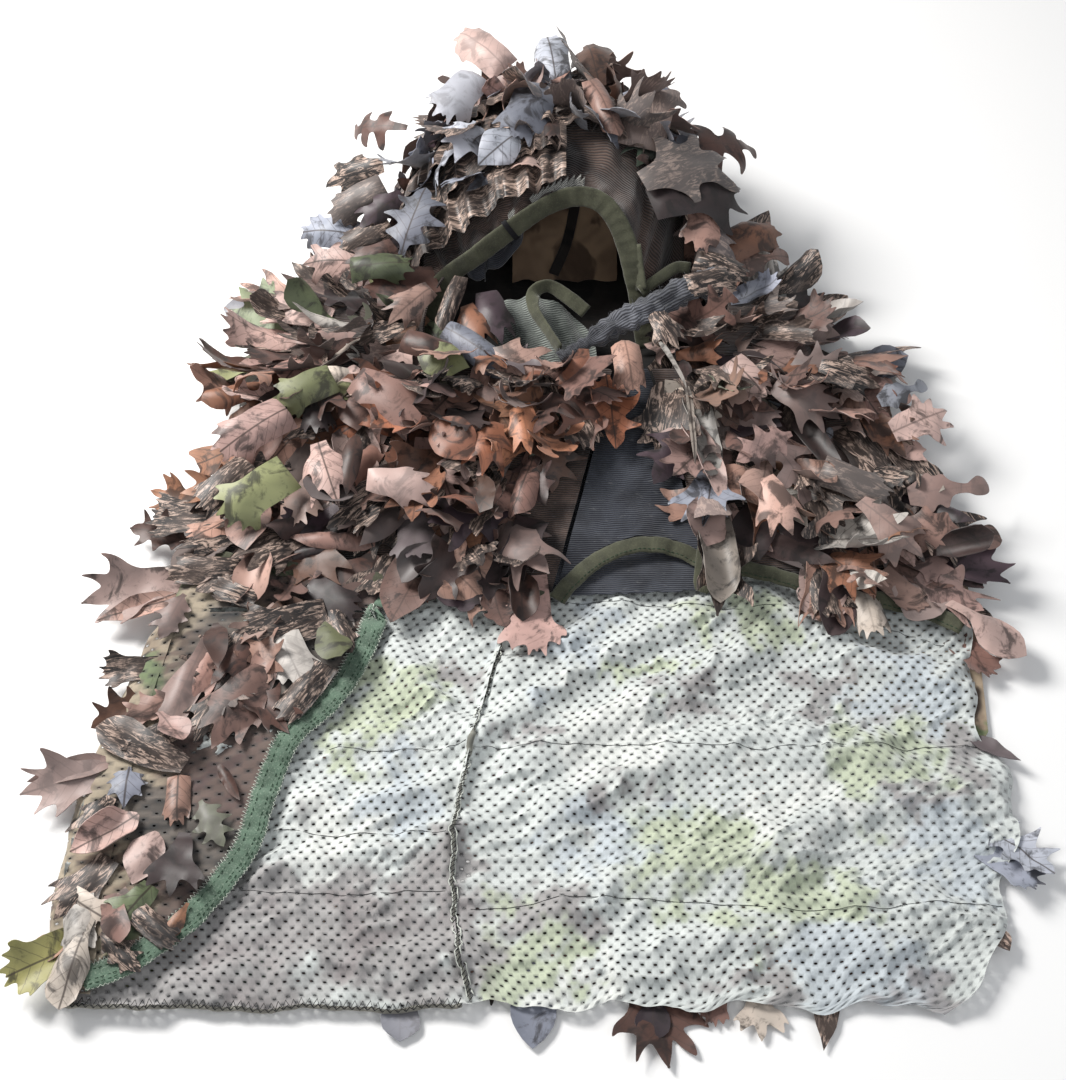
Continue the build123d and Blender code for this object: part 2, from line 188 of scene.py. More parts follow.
# ---------------------------------------------------------------- meshes
def new_piece(name, points, faces, material, tone=None, flat=None, numbers=None):
    """A mesh object. tone is a colour for each point, flat its place on the flat cloth,
    and numbers holds further values for each point."""
    mesh = bpy.data.meshes.new(name)
    mesh.from_pydata(np.asarray(points).tolist(), [], [tuple(map(int, f)) for f in faces])
    mesh.polygons.foreach_set("use_smooth", np.full(len(mesh.polygons), True))
    if tone is not None:
        layer = mesh.color_attributes.new("tone", "FLOAT_COLOR", "POINT")
        layer.data.foreach_set("color", np.c_[tone, np.ones(len(tone))].astype(np.float32).ravel())
    if flat is not None:
        corner = np.zeros(len(mesh.loops), np.int32)
        mesh.loops.foreach_get("vertex_index", corner)
        layer = mesh.uv_layers.new(name="cloth")
        layer.data.foreach_set("uv", np.asarray(flat)[corner].astype(np.float32).ravel())
    for key, values in (numbers or {}).items():
        layer = mesh.attributes.new(key, "FLOAT", "POINT")
        layer.data.foreach_set("value", np.asarray(values, np.float32))
    mesh.materials.append(material)
    piece = bpy.data.objects.new(name, mesh)
    bpy.context.scene.collection.objects.link(piece)
    return piece


class Heap:
    """Collects many small shapes that become one mesh."""

    def __init__(self):
        self.points, self.faces, self.tone, self.flat, self.numbers = [], [], [], [], {}
        self.count = 0

    def add(self, points, faces, tone=(1, 1, 1), flat=None, **numbers):
        """Adds one shape: its colour, its place on the flat cloth and numbers for its points."""
        n = len(points)
        self.points.append(points)
        self.faces.extend([tuple(i + self.count for i in f) for f in faces])
        self.tone.append(np.broadcast_to(tone, (n, 3)))
        self.flat.append(np.zeros((n, 2)) if flat is None else flat)
        for key, value in numbers.items():
            self.numbers.setdefault(key, []).append(np.broadcast_to(value, n))
        self.count += n

    def tube(self, path, radius, sides=5, tone=(1, 1, 1), **numbers):
        """Adds a tube along a path."""
        self.add(*tube(path, radius, sides), tone, **numbers)

    def make(self, name, material):
        """The shapes as one mesh object."""
        numbers = {k: np.concatenate(v) for k, v in self.numbers.items()}
        return new_piece(name, np.vstack(self.points), self.faces, material,
                         np.vstack(self.tone), np.vstack(self.flat), numbers)


def tube_faces(count, sides):
    """Faces of a closed tube of count rings."""
    quads = []
    for i in range(count - 1):
        for j in range(sides):
            k = (j + 1) % sides
            quads.append((i * sides + j, i * sides + k, (i + 1) * sides + k, (i + 1) * sides + j))
    return [*quads, tuple(range(sides))[::-1], tuple(range((count - 1) * sides, count * sides))]


def tube(path, radius, sides=6):
    """Points and faces of a tube along a path; radius is one number or one for each point."""
    path = np.asarray(path, float)
    along = tangents(path)
    helper = np.where(np.abs(along[:, 2:3]) > 0.9, [[1.0, 0, 0]], [[0, 0, 1.0]])
    side = unit(np.cross(along, helper))
    up = np.cross(side, along)
    angle = np.linspace(0, math.tau, sides, endpoint=False)
    radius = np.broadcast_to(radius, len(path))[:, None, None]
    ring = np.cos(angle)[None, :, None] * side[:, None] + np.sin(angle)[None, :, None] * up[:, None]
    return (path[:, None] + ring * radius).reshape(-1, 3), tube_faces(len(path), sides)


def grid_faces(rows, columns):
    """Triangles of a grid of points stored row by row."""
    index = np.arange(rows * columns).reshape(rows, columns)
    corners = [index[:-1, :-1], index[:-1, 1:], index[1:, 1:], index[1:, :-1]]
    quads = np.stack([c.ravel() for c in corners], 1)
    return np.vstack([quads[:, [0, 1, 2]], quads[:, [0, 2, 3]]])


def pushes(points, faces):
    """Each triangle's normal, as long as twice its area."""
    a, b, c = (points[faces[:, k]] for k in range(3))
    return np.cross(b - a, c - a)


def surface_normals(points, faces):
    """The surface's normal at each point, from the triangles that meet there."""
    push = pushes(points, faces)
    normals = np.zeros_like(points)
    for k in range(3):
        np.add.at(normals, faces[:, k], push)
    return unit(normals)


def rim_of(faces):
    """Edges used by one face only, as pairs in the face's own direction."""
    seen = {(int(a), int(b)): True for face in faces for a, b in zip(face, np.roll(face, -1))}
    return [(a, b) for a, b in seen if (b, a) not in seen]


def thick(points, faces, rim, thickness):
    """Both faces and the rim of a thin cloth; the underside's points follow the upper side's."""
    normals = surface_normals(points, faces)
    n = len(points)
    both = np.vstack([points + normals * thickness / 2, points - normals * thickness / 2])
    walls = [(a, a + n, b + n, b) for a, b in rim]
    return both, [*map(tuple, faces), *map(tuple, faces[:, ::-1] + n), *walls]


def facing(points, faces, outward):
    """Triangles turned so that their normals point, on the whole, the way outward points."""
    return faces if np.dot(surface_normals(points, faces).mean(0), outward) >= 0 else faces[:, ::-1]


def cloth_grid(name, points, across, along, material, thickness, outward, lowest=0.0):
    """A thin cloth through a grid of points, nowhere below lowest, with its outer side where
    outward points to. across and along place its columns and rows on the flat cloth."""
    points = points.reshape(-1, 3)
    faces = facing(points, grid_faces(len(along), len(across)), outward)
    both, solid = thick(points, faces, rim_of(faces), thickness)
    both[:, 2] = np.maximum(both[:, 2], lowest)
    flat = np.column_stack([np.tile(across, len(along)), np.repeat(along, len(across))])
    return new_piece(name, both, solid, material, None, np.vstack([flat, flat]))


def measured(piece, layers):
    """Area of a piece, counted once for its layers."""
    return sum(f.area for f in piece.data.polygons) / layers


def ride(piece, body, slot=None, *nodes):
    """Puts a finished piece on its body and hides the CAD nodes it stands for. Its material slot is not used.
    """
    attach(piece, body)
    if nodes:
        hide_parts(*nodes)
    return piece


# ---------------------------------------------------------------- materials
class Shader:
    """A material's nodes: add() makes one and links or sets its inputs by name."""

    def __init__(self, name, roughness=0.8, sheen=0.0, specular=0.35):
        self.material = bpy.data.materials.new(name)
        self.material.use_nodes = True
        self.tree = self.material.node_tree
        self.surface = self.tree.nodes["Principled BSDF"]
        self.surface.inputs["Roughness"].default_value = roughness
        self.surface.inputs["Sheen Weight"].default_value = sheen
        self.surface.inputs["Specular IOR Level"].default_value = specular

    def add(self, kind, inputs=None, output=0, **settings):
        node = self.tree.nodes.new(kind)
        for key, value in settings.items():
            setattr(node, key, value)
        for key, value in (inputs or {}).items():
            self.give(node.inputs[key], value)
        return node.outputs[output]

    def give(self, socket, value):
        """Links a node's output to an input, or sets the input to a number or a colour."""
        if isinstance(value, bpy.types.NodeSocket):
            self.tree.links.new(value, socket)
        elif hasattr(value, "__len__") and len(value) == 3 and socket.type == "RGBA":
            socket.default_value = (*value, 1)
        else:
            socket.default_value = value

    def value(self, name):
        """A number stored on the mesh."""
        return self.add("ShaderNodeAttribute", output="Fac", attribute_name=name)

    def tone(self):
        return self.add("ShaderNodeAttribute", output="Color", attribute_name="tone")

    def place(self):
        """Place on the object, in metres."""
        return self.add("ShaderNodeTexCoord", output="Object")

    def flat(self, scale=(1, 1, 1), turn=0.0):
        """Place on the flat cloth, in metres, stretched and turned."""
        cloth = self.add("ShaderNodeUVMap", uv_map="cloth")
        return self.add("ShaderNodeMapping", {"Vector": cloth, "Scale": scale, "Rotation": (0, 0, turn)})

    def noise(self, where, scale, detail=3.0, rough=0.55, warp=0.0):
        """Cloudy noise with about scale patches in a metre."""
        return self.add("ShaderNodeTexNoise", {
            "Vector": where, "Scale": scale, "Detail": detail, "Roughness": rough, "Distortion": warp,
        })

    def math(self, operation, a, b=0.0, clamp=False):
        return self.add("ShaderNodeMath", {0: a, 1: b}, operation=operation, use_clamp=clamp)

    def ramp(self, value, low, high, to_low=0.0, to_high=1.0):
        """Maps a number from one range to another, held at the ends."""
        return self.add("ShaderNodeMapRange", {
            "Value": value, "From Min": low, "From Max": high, "To Min": to_low, "To Max": to_high,
        }, interpolation_type="SMOOTHSTEP")

    def mix(self, share, a, b, blend="MIX"):
        """Colour between a (share 0) and b (share 1)."""
        node = self.tree.nodes.new("ShaderNodeMix")
        node.data_type = "RGBA"
        node.blend_type = blend
        self.give(node.inputs[0], share)
        self.give(node.inputs[6], a)
        self.give(node.inputs[7], b)
        return node.outputs[2]

    def finish(self, colour, height=None, depth=0.0005, strength=0.6):
        """Links the colour and a bump from a height between 0 and 1."""
        self.give(self.surface.inputs["Base Color"], colour)
        if height is not None:
            bump = self.add("ShaderNodeBump", {
                "Height": height, "Distance": depth, "Strength": strength,
            })
            self.give(self.surface.inputs["Normal"], bump)
        return self.material


def leaf_material():
    """Printed cloth leaf: mottled print, bark streaks where "bark" is set, faint veins, a pale back."""
    s = Shader("leaf_cloth", roughness=0.5, sheen=0.1, specular=0.5)
    where = s.flat()
    cloud = s.noise(where, 46, 5, 0.62, 0.9)
    patch = s.noise(where, 15, 3, 0.55, 0.7)
    fleck = s.noise(where, 130, 4, 0.7, 0.4)
    dark = s.mix(0.86, s.tone(), (0.008, 0.005, 0.005))
    light = s.mix(1.0, s.tone(), (1.42, 1.38, 1.36), blend="MULTIPLY")
    colour = s.mix(s.ramp(patch, 0.36, 0.62), light, s.tone())
    colour = s.mix(s.ramp(cloud, 0.49, 0.62, 0.0, 0.88), colour, dark)
    colour = s.mix(s.ramp(fleck, 0.54, 0.70, 0.0, 0.45), colour, dark)
    colour = s.mix(s.ramp(fleck, 0.28, 0.40, 0.35, 0.0), colour, light)
    # Bark: fine pale streaks along the cloth over a dark ground.
    streaks = s.noise(s.flat((46, 10, 1)), 4.5, 6, 0.70, 2.4)
    ground = s.mix(s.ramp(patch, 0.4, 0.6), (0.010, 0.007, 0.007), (0.050, 0.034, 0.028))
    bark = s.mix(s.ramp(streaks, 0.48, 0.58), ground, (0.46, 0.34, 0.28))
    bark = s.mix(s.ramp(cloud, 0.44, 0.58, 0.0, 0.8), bark, ground)
    colour = s.mix(s.value("bark"), colour, bark)
    # Veins: a middle line and side lines that leave it at a slant.
    across = s.math("ABSOLUTE", s.value("across"))
    middle = s.ramp(across, 0.0003, 0.0011, 1.0, 0.0)
    slant = s.math("SUBTRACT", s.value("along"), s.math("MULTIPLY", across, 0.9))
    slant = s.math("ADD", slant, s.math("MULTIPLY", cloud, 0.006))
    lines = s.math("ABSOLUTE", s.math("SUBTRACT", s.math("FRACT", s.math("MULTIPLY", slant, 105)), 0.5))
    veins = s.math("MAXIMUM", middle, s.ramp(lines, 0.02, 0.07, 0.55, 0.0))
    colour = s.mix(s.math("MULTIPLY", veins, s.value("vein")), colour, (0.03, 0.018, 0.014))
    washed = s.mix(0.5, colour, s.tone())
    pale = s.mix(0.22, washed, (0.36, 0.32, 0.31))
    colour = s.mix(s.value("reverse"), colour, pale)
    weave = s.noise(where, 1500, 2)
    return s.finish(colour, weave, 0.0002, 0.35)


def mesh_material(name):
    """Knitted polyester mesh: the print as "tone", with painted shade at the holes' rims, and a fine knit."""
    s = Shader(name, roughness=0.85, sheen=0.25, specular=0.25)
    where = s.place()
    grain = s.noise(where, 260, 4, 0.65)
    colour = s.mix(s.ramp(grain, 0.35, 0.7, 0.0, 0.35), s.tone(), s.mix(0.5, s.tone(), (0.1, 0.1, 0.09)))
    # painted shade round each hole, as strong as its "rim" number
    colour = s.mix(s.value("rim"), colour, (0.03, 0.035, 0.04))
    knit = s.noise(where, 900, 2)
    return s.finish(colour, knit, 0.0003, 0.5)


NET_RIBS = 520                                 # ribs in a metre of net


def net_material(name, light, dark):
    """Fine ribbed net: dark lines across the cloth at the rib pitch, with worn pale patches."""
    s = Shader(name, roughness=0.9, sheen=0.3, specular=0.2)
    light, dark = srgb(*light), srgb(*dark)
    rib = s.add("ShaderNodeTexWave", {
        "Vector": s.flat(), "Scale": NET_RIBS / math.tau * 2,
        "Distortion": 2.5, "Detail": 2.0, "Detail Scale": 0.6,
    }, output="Fac", bands_direction="Y")
    patch = s.noise(s.flat(), 22, 4, 0.6)
    wear = s.noise(s.flat((1, 3, 1)), 90, 3, 0.6)
    colour = s.mix(s.ramp(patch, 0.35, 0.65), dark, light)
    colour = s.mix(s.ramp(rib, 0.25, 0.7, 0.65, 0.0), colour, (0.008, 0.008, 0.01))
    colour = s.mix(s.ramp(wear, 0.6, 0.75, 0.0, 0.25), colour, (0.3, 0.3, 0.3))
    return s.finish(colour, rib, 0.0006, 0.8)


def camo_material(name, colours, bark=0.6, scale=14.0):
    """Printed camouflage cloth: soft patches of a few colours with bark streaks."""
    s = Shader(name, roughness=0.85, sheen=0.2, specular=0.25)
    colours = [srgb(*c) for c in colours]
    where = s.flat()
    colour = s.mix(s.ramp(s.noise(where, scale, 3, 0.6, 0.5), 0.42, 0.56), colours[0], colours[1])
    for i, extra in enumerate(colours[2:], 1):
        shifted = s.add("ShaderNodeVectorMath", {0: where, 1: (3.7 * i, 1.3 * i, 0)}, operation="ADD")
        colour = s.mix(s.ramp(s.noise(shifted, scale * 1.3, 3, 0.6, 0.8), 0.54, 0.62), colour, extra)
    streaks = s.noise(s.flat((10, 70, 1), 0.35), 5.5, 5, 0.7, 1.4)
    colour = s.mix(s.ramp(streaks, 0.56, 0.68, 0.0, bark), colour, (0.3, 0.26, 0.22))
    knit = s.noise(where, 900, 2)
    return s.finish(colour, knit, 0.0003, 0.5)


def tape_material(name, colour, pale):
    """Woven binding tape: fine cross ribs with painted shade in the grooves between them, darker in random
    clouds and worn pale at random.
    """
    s = Shader(name, roughness=0.88, sheen=0.3, specular=0.25)
    colour, pale = srgb(*colour), srgb(*pale)
    rib = s.add("ShaderNodeTexWave", {
        "Vector": s.flat(), "Scale": 420.0, "Distortion": 1.5, "Detail": 2.0,
    }, output="Fac", bands_direction="X")
    cloud = s.noise(s.flat(), 60, 4, 0.6)
    fine = s.noise(s.flat(), 700, 3, 0.6)
    shade = s.mix(s.ramp(cloud, 0.3, 0.7), colour * 0.5, colour)
    shade = s.mix(s.ramp(fine, 0.5, 0.75, 0.0, 0.5), shade, pale)
    # painted shade in the grooves between the ribs
    shade = s.mix(s.ramp(rib, 0.2, 0.6, 0.25, 0.0), shade, colour * 0.3)
    return s.finish(shade, rib, 0.0003, 0.5)


def thread_material(name, colour):
    """Thread, with a little unevenness along it."""
    s = Shader(name)
    colour = srgb(*colour)
    cloud = s.noise(s.place(), 300, 2)
    return s.finish(s.mix(s.ramp(cloud, 0.3, 0.7), colour * 0.6, colour))


LEAF = leaf_material()
MESH_INSIDE = mesh_material("mesh_inside")
MESH_OUTSIDE = mesh_material("mesh_outside")
GORE_NET = net_material("gore_net", (70, 74, 84), (34, 37, 46))
HOOD_NET = net_material("hood_net", (104, 86, 78), (36, 29, 28))
VEIL_NET = net_material("veil_net", (144, 150, 144), (88, 94, 90))
LINING = camo_material("lining", [(168, 140, 108), (120, 96, 74), (60, 50, 46)], 0.1)
HOOD_CAMO = camo_material("hood_camo", [(96, 78, 70), (58, 48, 44), (40, 36, 38), (86, 90, 62)])
OLIVE_TAPE = tape_material("olive_tape", (86, 87, 70), (108, 112, 88))
# near black: the dark seam tapes inside the hood, and painted shade on the hood's floor
DARK_TAPE_AND_SHADE = camo_material("dark_tape_and_painted_shade", [(34, 30, 28), (22, 20, 20), (14, 13, 14)], 0.05)
TAN_CAMO = camo_material("tan_camo", [(172, 154, 132), (140, 122, 104), (84, 72, 64), (110, 120, 88)])
PALE_NET = net_material("pale_net", (214, 214, 210), (140, 138, 132))
COLLAR_NET = net_material("grey_net", (116, 118, 126), (58, 60, 66))
TAN_LINING = camo_material("tan_lining", [(140, 118, 96), (112, 92, 74), (78, 62, 50)], 0.0)
GREEN_TAPE = tape_material("green_tape", (100, 124, 106), (168, 182, 166))
BLACK_THREAD = thread_material("black_thread", (30, 30, 34))
PALE_THREAD = thread_material("pale_thread", (205, 212, 200))
GREY_THREAD = thread_material("grey_thread", (112, 114, 120))
GREEN_THREAD = thread_material("green_thread", (38, 70, 50))


# ---------------------------------------------------------------- wrinkled cloth
# Springs of the cloth: rows and columns from a point to its neighbour, and how strong each is.
SPRINGS = [((0, 1), 0.9), ((1, 0), 0.9), ((1, 1), 0.5), ((1, -1), 0.5),
           ((0, 3), 0.35), ((3, 0), 0.35), ((0, 5), 0.25), ((5, 0), 0.25)]
SETTLING_ROUNDS = 260
SETTLING_SPEED = 0.32
SINKING = 0.000012                             # how far the cloth's weight lets it down each round


def gathered(start, gather, floor, ceiling, seed_height):
    """Lets a grid of cloth, cut a little larger than its place, buckle into wrinkles.
    start is (rows, columns, 3); the edge stays in plan; gather is the spare share of length."""
    cloth = start.copy()
    cloth[..., 2] += seed_height
    rows, columns = cloth.shape[:2]
    links = []
    for (di, dj), strength in SPRINGS:
        first = (slice(0, rows - di), slice(max(0, -dj), columns - max(0, dj)))
        second = (slice(di, rows), slice(max(0, dj), columns + min(0, dj)))
        spare = 1 + 0.5 * (gather[first] + gather[second]) * (0.55 if di > 1 or dj > 1 else 1.0)
        rest = np.linalg.norm(start[second] - start[first], axis=-1) * spare
        links.append((first, second, rest, strength))
    for _ in range(SETTLING_ROUNDS):
        move = np.zeros_like(cloth)
        for first, second, rest, strength in links:
            gap = cloth[second] - cloth[first]
            length = np.linalg.norm(gap, axis=-1)
            push = gap * ((length - rest) / np.maximum(length, 1e-9) * 0.5 * strength)[..., None]
            move[first] += push
            move[second] -= push
        move[0, :, :2] = move[-1, :, :2] = 0
        move[:, 0, :2] = move[:, -1, :2] = 0
        cloth += SETTLING_SPEED * move
        cloth[..., 2] = np.clip(cloth[..., 2] - SINKING, floor, ceiling)
    return cloth


def finer(cloth, rows, columns):
    """A grid of points resampled to more rows and columns and smoothed."""
    old_rows, old_columns = cloth.shape[:2]
    at_rows = np.linspace(0, old_rows - 1, rows)
    at_columns = np.linspace(0, old_columns - 1, columns)
    out = np.zeros((rows, columns, 3))
    for k in range(3):
        wide = np.array([np.interp(at_columns, np.arange(old_columns), row) for row in cloth[..., k]])
        out[..., k] = np.array([np.interp(at_rows, np.arange(old_rows), c) for c in wide.T]).T
    for _ in range(3):
        inner = out[1:-1, 1:-1]
        around = out[:-2, 1:-1] + out[2:, 1:-1] + out[1:-1, :-2] + out[1:-1, 2:]
        out[1:-1, 1:-1] = 0.5 * inner + 0.125 * around
    return out


def ridge(x, y, line, height, width):
    """A soft ridge of the given height along a line of points."""
    line = curve(line, 0.006)
    away = np.full(np.broadcast(x, y).shape, 1.0)
    for px, py in line:
        away = np.minimum(away, (x - px) ** 2 + (y - py) ** 2)
    return height * np.exp(-away / (2 * width ** 2))


HOLE_SIDES = 8
# A cell's outer points, as rows and columns from its middle, and the turn of each towards it.
CELL = ((-1, -1), (-1, 0), (-1, 1), (0, 1), (1, 1), (1, 0), (1, -1), (0, -1))
CELL_TURNS = np.arange(HOLE_SIDES) * math.tau / HOLE_SIDES - 3 * math.pi / 4
RIM_DEPTH = 0.0003
RIM_SHADE = 0.55


def perforated(name, base, material, tone, keep=None):
    """Knitted mesh with real holes. base is a grid of points at half the hole pitch, with an odd
    number of rows and columns; every second cell of two by two quads has a hole at its middle."""
    rows, columns = base.shape[:2]
    index = np.arange(rows * columns).reshape(rows, columns)
    points = [base.reshape(-1, 3)]
    tones = [tone.reshape(-1, 3)]
    rims = [np.zeros(rows * columns)]
    faces = []
    count = rows * columns
    for i in range(1, rows - 1, 2):
        for j in range(1, columns - 1, 2):
            if keep is not None and not keep[i - 1:i + 2, j - 1:j + 2].all():
                continue
            ring = [index[i + a, j + b] for a, b in CELL]
            if ((i + j) // 2) % 2 == 0:
                span = base[i, j + 1] - base[i, j - 1]
                across, along = unit(span), unit(base[i + 1, j] - base[i - 1, j])
                reach = min(HOLE[0], 0.30 * np.linalg.norm(span))
                rim = (base[i, j] + np.cos(CELL_TURNS)[:, None] * across * reach
                       + np.sin(CELL_TURNS)[:, None] * along * HOLE[1])
                rim[:, 2] -= RIM_DEPTH
                points.append(rim)
                tones.append(np.repeat(tone[i, j][None], HOLE_SIDES, 0))
                # the rim's painted shade, which the mesh material darkens it by
                rims.append(np.full(HOLE_SIDES, RIM_SHADE))
                inner = range(count, count + HOLE_SIDES)
                for k in range(HOLE_SIDES):
                    after = (k + 1) % HOLE_SIDES
                    faces.append((ring[k], ring[after], inner[after], inner[k]))
                count += HOLE_SIDES
            else:
                c = index[i, j]
                faces += [(ring[0], ring[1], c, ring[7]), (ring[1], ring[2], ring[3], c),
                          (c, ring[3], ring[4], ring[5]), (ring[7], c, ring[5], ring[6])]
    points = np.vstack(points)
    used = np.zeros(len(points), bool)
    faces = np.array(faces)
    used[faces.ravel()] = True
    number = np.cumsum(used) - 1
    return new_piece(name, points[used], number[faces], material, np.vstack(tones)[used],
                     points[used][:, :2], {"rim": np.concatenate(rims)[used]})


# ---------------------------------------------------------------- camera, light, floor
CAMERA_TARGET = Vector((0, -0.050, 0))
CAMERA_ELEVATION = math.radians(52)
CAMERA_DISTANCE = 1.5
CAMERA_SENSOR_MM = 36
CAMERA_LENS_MM = 62.5
# Lights: name, place, size, power in watts, colour.
LIGHTS = [
    ("key", (-1.15, 0.60, 1.25), 0.7, 52, (1.0, 0.98, 0.95)),
    ("fill", (1.3, -0.7, 1.3), 1.4, 6, (0.93, 0.96, 1.0)),
    ("front", (-0.2, -1.6, 1.2), 1.2, 5, (1, 1, 1)),
]
SKY_COLOUR = (0.95, 0.97, 1.0, 1)
SKY_STRENGTH = 0.31
FLOOR_HALF = 6.0


def put_camera(scene):
    """The camera, above and in front of the hem, looking down on the suit."""
    back = Vector((0, -math.cos(CAMERA_ELEVATION), math.sin(CAMERA_ELEVATION)))
    camera = bpy.data.objects.new("camera", bpy.data.cameras.new("camera"))
    scene.collection.objects.link(camera)
    camera.location = CAMERA_TARGET + back * CAMERA_DISTANCE
    camera.rotation_euler = (-back).to_track_quat("-Z", "Y").to_euler()
    camera.data.sensor_width = CAMERA_SENSOR_MM
    camera.data.lens = CAMERA_LENS_MM
    scene.camera = camera


def put_lights(scene):
    """The area lights, each turned to the middle of the scene, and an even sky."""
    for name, place, size, power, colour in LIGHTS:
        light = bpy.data.objects.new(name, bpy.data.lights.new(name, "AREA"))
        scene.collection.objects.link(light)
        light.location = place
        light.rotation_euler = (-Vector(place)).to_track_quat("-Z", "Y").to_euler()
        light.data.size = size
        light.data.energy = power
        light.data.color = colour
    world = bpy.data.worlds.new("studio")
    world.use_nodes = True
    sky = world.node_tree.nodes["Background"]
    sky.inputs["Color"].default_value = SKY_COLOUR
    sky.inputs["Strength"].default_value = SKY_STRENGTH
    scene.world = world


def put_floor(scene):
    """The pale floor that the suit lies on."""
    mesh = bpy.data.meshes.new("floor")
    corners = [(x * FLOOR_HALF, y * FLOOR_HALF, 0) for x, y in ((-1, -1), (1, -1), (1, 1), (-1, 1))]
    mesh.from_pydata(corners, [], [(0, 1, 2, 3)])
    floor = bpy.data.objects.new("floor", mesh)
    scene.collection.objects.link(floor)
    s = Shader("floor", roughness=0.9, specular=0.1)
    grain = s.noise(s.place(), 3.0, 2)
    mesh.materials.append(s.finish(s.mix(grain, (0.86, 0.86, 0.86), (0.90, 0.90, 0.90))))


bpy.context.scene.view_settings.view_transform = "Standard"
put_camera(bpy.context.scene)
put_lights(bpy.context.scene)
put_floor(bpy.context.scene)


# ---------------------------------------------------------------- the back of the cape
# The print that shows through the mesh's pale inner side: place, size and colour of soft patches.
PALE = srgb(204, 209, 207)
PRINT_GREEN = srgb(180, 190, 156)
PRINT_BLUE = srgb(186, 195, 203)
PRINT_BROWN = srgb(134, 126, 127)
PRINT_WHITE = srgb(222, 224, 220)
PATCHES = [
    (-0.099, -0.201, 0.034, PRINT_GREEN), (-0.127, -0.236, 0.028, PRINT_GREEN),
    (0.163, -0.128, 0.036, PRINT_GREEN), (0.244, -0.266, 0.042, PRINT_GREEN),
    (0.117, -0.335, 0.050, PRINT_GREEN), (-0.002, -0.418, 0.034, PRINT_GREEN),
    (0.080, -0.183, 0.022, PRINT_GREEN), (0.184, -0.374, 0.040, PRINT_GREEN),
    (0.288, -0.201, 0.044, PRINT_BLUE), (0.021, -0.156, 0.038, PRINT_BLUE),
    (-0.095, -0.295, 0.036, PRINT_BLUE), (0.299, -0.335, 0.038, PRINT_BLUE),
    (0.225, -0.433, 0.050, PRINT_BLUE), (0.047, -0.319, 0.040, PRINT_BLUE),
    (-0.160, -0.390, 0.070, PRINT_BROWN), (-0.077, -0.405, 0.060, PRINT_BROWN),
    (-0.250, -0.430, 0.075, PRINT_BROWN), (-0.060, -0.350, 0.034, PRINT_BROWN),
    (0.255, -0.460, 0.030, PRINT_BROWN), (0.060, -0.290, 0.022, PRINT_BROWN),
    (0.280, -0.300, 0.022, PRINT_BROWN), (-0.060, -0.180, 0.022, PRINT_BROWN),
    (0.228, -0.210, 0.024, PRINT_BROWN), (0.152, -0.433, 0.026, PRINT_BROWN),
    (0.019, -0.380, 0.026, PRINT_BROWN), (0.311, -0.253, 0.026, PRINT_BROWN),
    (0.124, -0.210, 0.028, PRINT_BROWN), (0.000, -0.240, 0.022, PRINT_BROWN),
    (0.060, -0.240, 0.040, PRINT_WHITE), (0.040, -0.450, 0.030, PRINT_WHITE),
    (0.180, -0.300, 0.030, PRINT_WHITE), (-0.140, -0.320, 0.030, PRINT_WHITE),
]
# The larger folds of the mesh, drawn as lines of their crests: points, height, half width.
FOLDS = [
    ([(-0.039, -0.240), (0.020, -0.190), (0.081, -0.150), (0.132, -0.124)], 0.0105, 0.010),
    ([(-0.030, -0.196), (0.020, -0.158), (0.067, -0.122)], 0.0080, 0.008),
    ([(-0.009, -0.262), (0.079, -0.212), (0.172, -0.160)], 0.0100, 0.012),
    ([(0.175, -0.120), (0.240, -0.165), (0.312, -0.190)], 0.0095, 0.012),
    ([(0.019, -0.299), (0.085, -0.268), (0.166, -0.243), (0.253, -0.252)], 0.0115, 0.013),
    ([(0.174, -0.327), (0.248, -0.297), (0.328, -0.285)], 0.0105, 0.012),
    ([(0.019, -0.378), (0.088, -0.351), (0.187, -0.338)], 0.0110, 0.013),
    ([(0.072, -0.418), (0.155, -0.396), (0.249, -0.407)], 0.0100, 0.012),
    ([(0.218, -0.368), (0.266, -0.374), (0.317, -0.400)], 0.0090, 0.011),
    ([(-0.240, -0.246), (-0.163, -0.241), (-0.047, -0.244)], 0.0060, 0.007),
    ([(-0.166, -0.297), (-0.109, -0.295), (-0.049, -0.277)], 0.0065, 0.009),
    ([(-0.184, -0.345), (-0.121, -0.335), (-0.052, -0.317)], 0.0060, 0.009),
    ([(-0.101, -0.165), (-0.076, -0.210), (-0.048, -0.243)], 0.0070, 0.008),
    ([(-0.236, -0.432), (-0.143, -0.418), (-0.046, -0.412)], 0.0055, 0.009),
]
SEAM_PINCH_Y = -0.248


def seam_x(y):
    """Place across of the centre back seam at a height along the back."""
    low = profile("centre_back_seam", Y, y, X, 0)
    high = profile("centre_back_seam", Y, y, X, 1)
    return (low + high) / 2


def print_tone(x, y):
    """Colour of the mesh's inner side at points of the back."""
    wander_x = x + 0.026 * ripple(x, y, 11, 0.07) + 0.010 * ripple(x, y, 14, 0.022)
    wander_y = y + 0.026 * ripple(x, y, 12, 0.07) + 0.010 * ripple(x, y, 15, 0.022)
    tone = np.broadcast_to(PALE, (*x.shape, 3)).copy()
    tone *= (1 + 0.09 * ripple(x, y, 13, 0.10, 4))[..., None]
    for px, py, size, colour in PATCHES:
        away = np.hypot(wander_x - px, (wander_y - py) * 1.25) / size
        share = 0.70 * (1 - ease(away, 0.65, 1.25))
        tone += share[..., None] * (colour - tone)
    return np.clip(tone, 0, 1)


def back_height(x, y):
    """First folds of the back, which the cloth's own gathering then works on."""
    height = 0.0014 * ripple(x + 0.5 * y, 2 * y - x, 21, 0.10) + 0.0004 * ripple(x, y, 22, 0.03)
    for line, rise, width in FOLDS:
        height = height + ridge(x, y, line, rise, width)
    return height


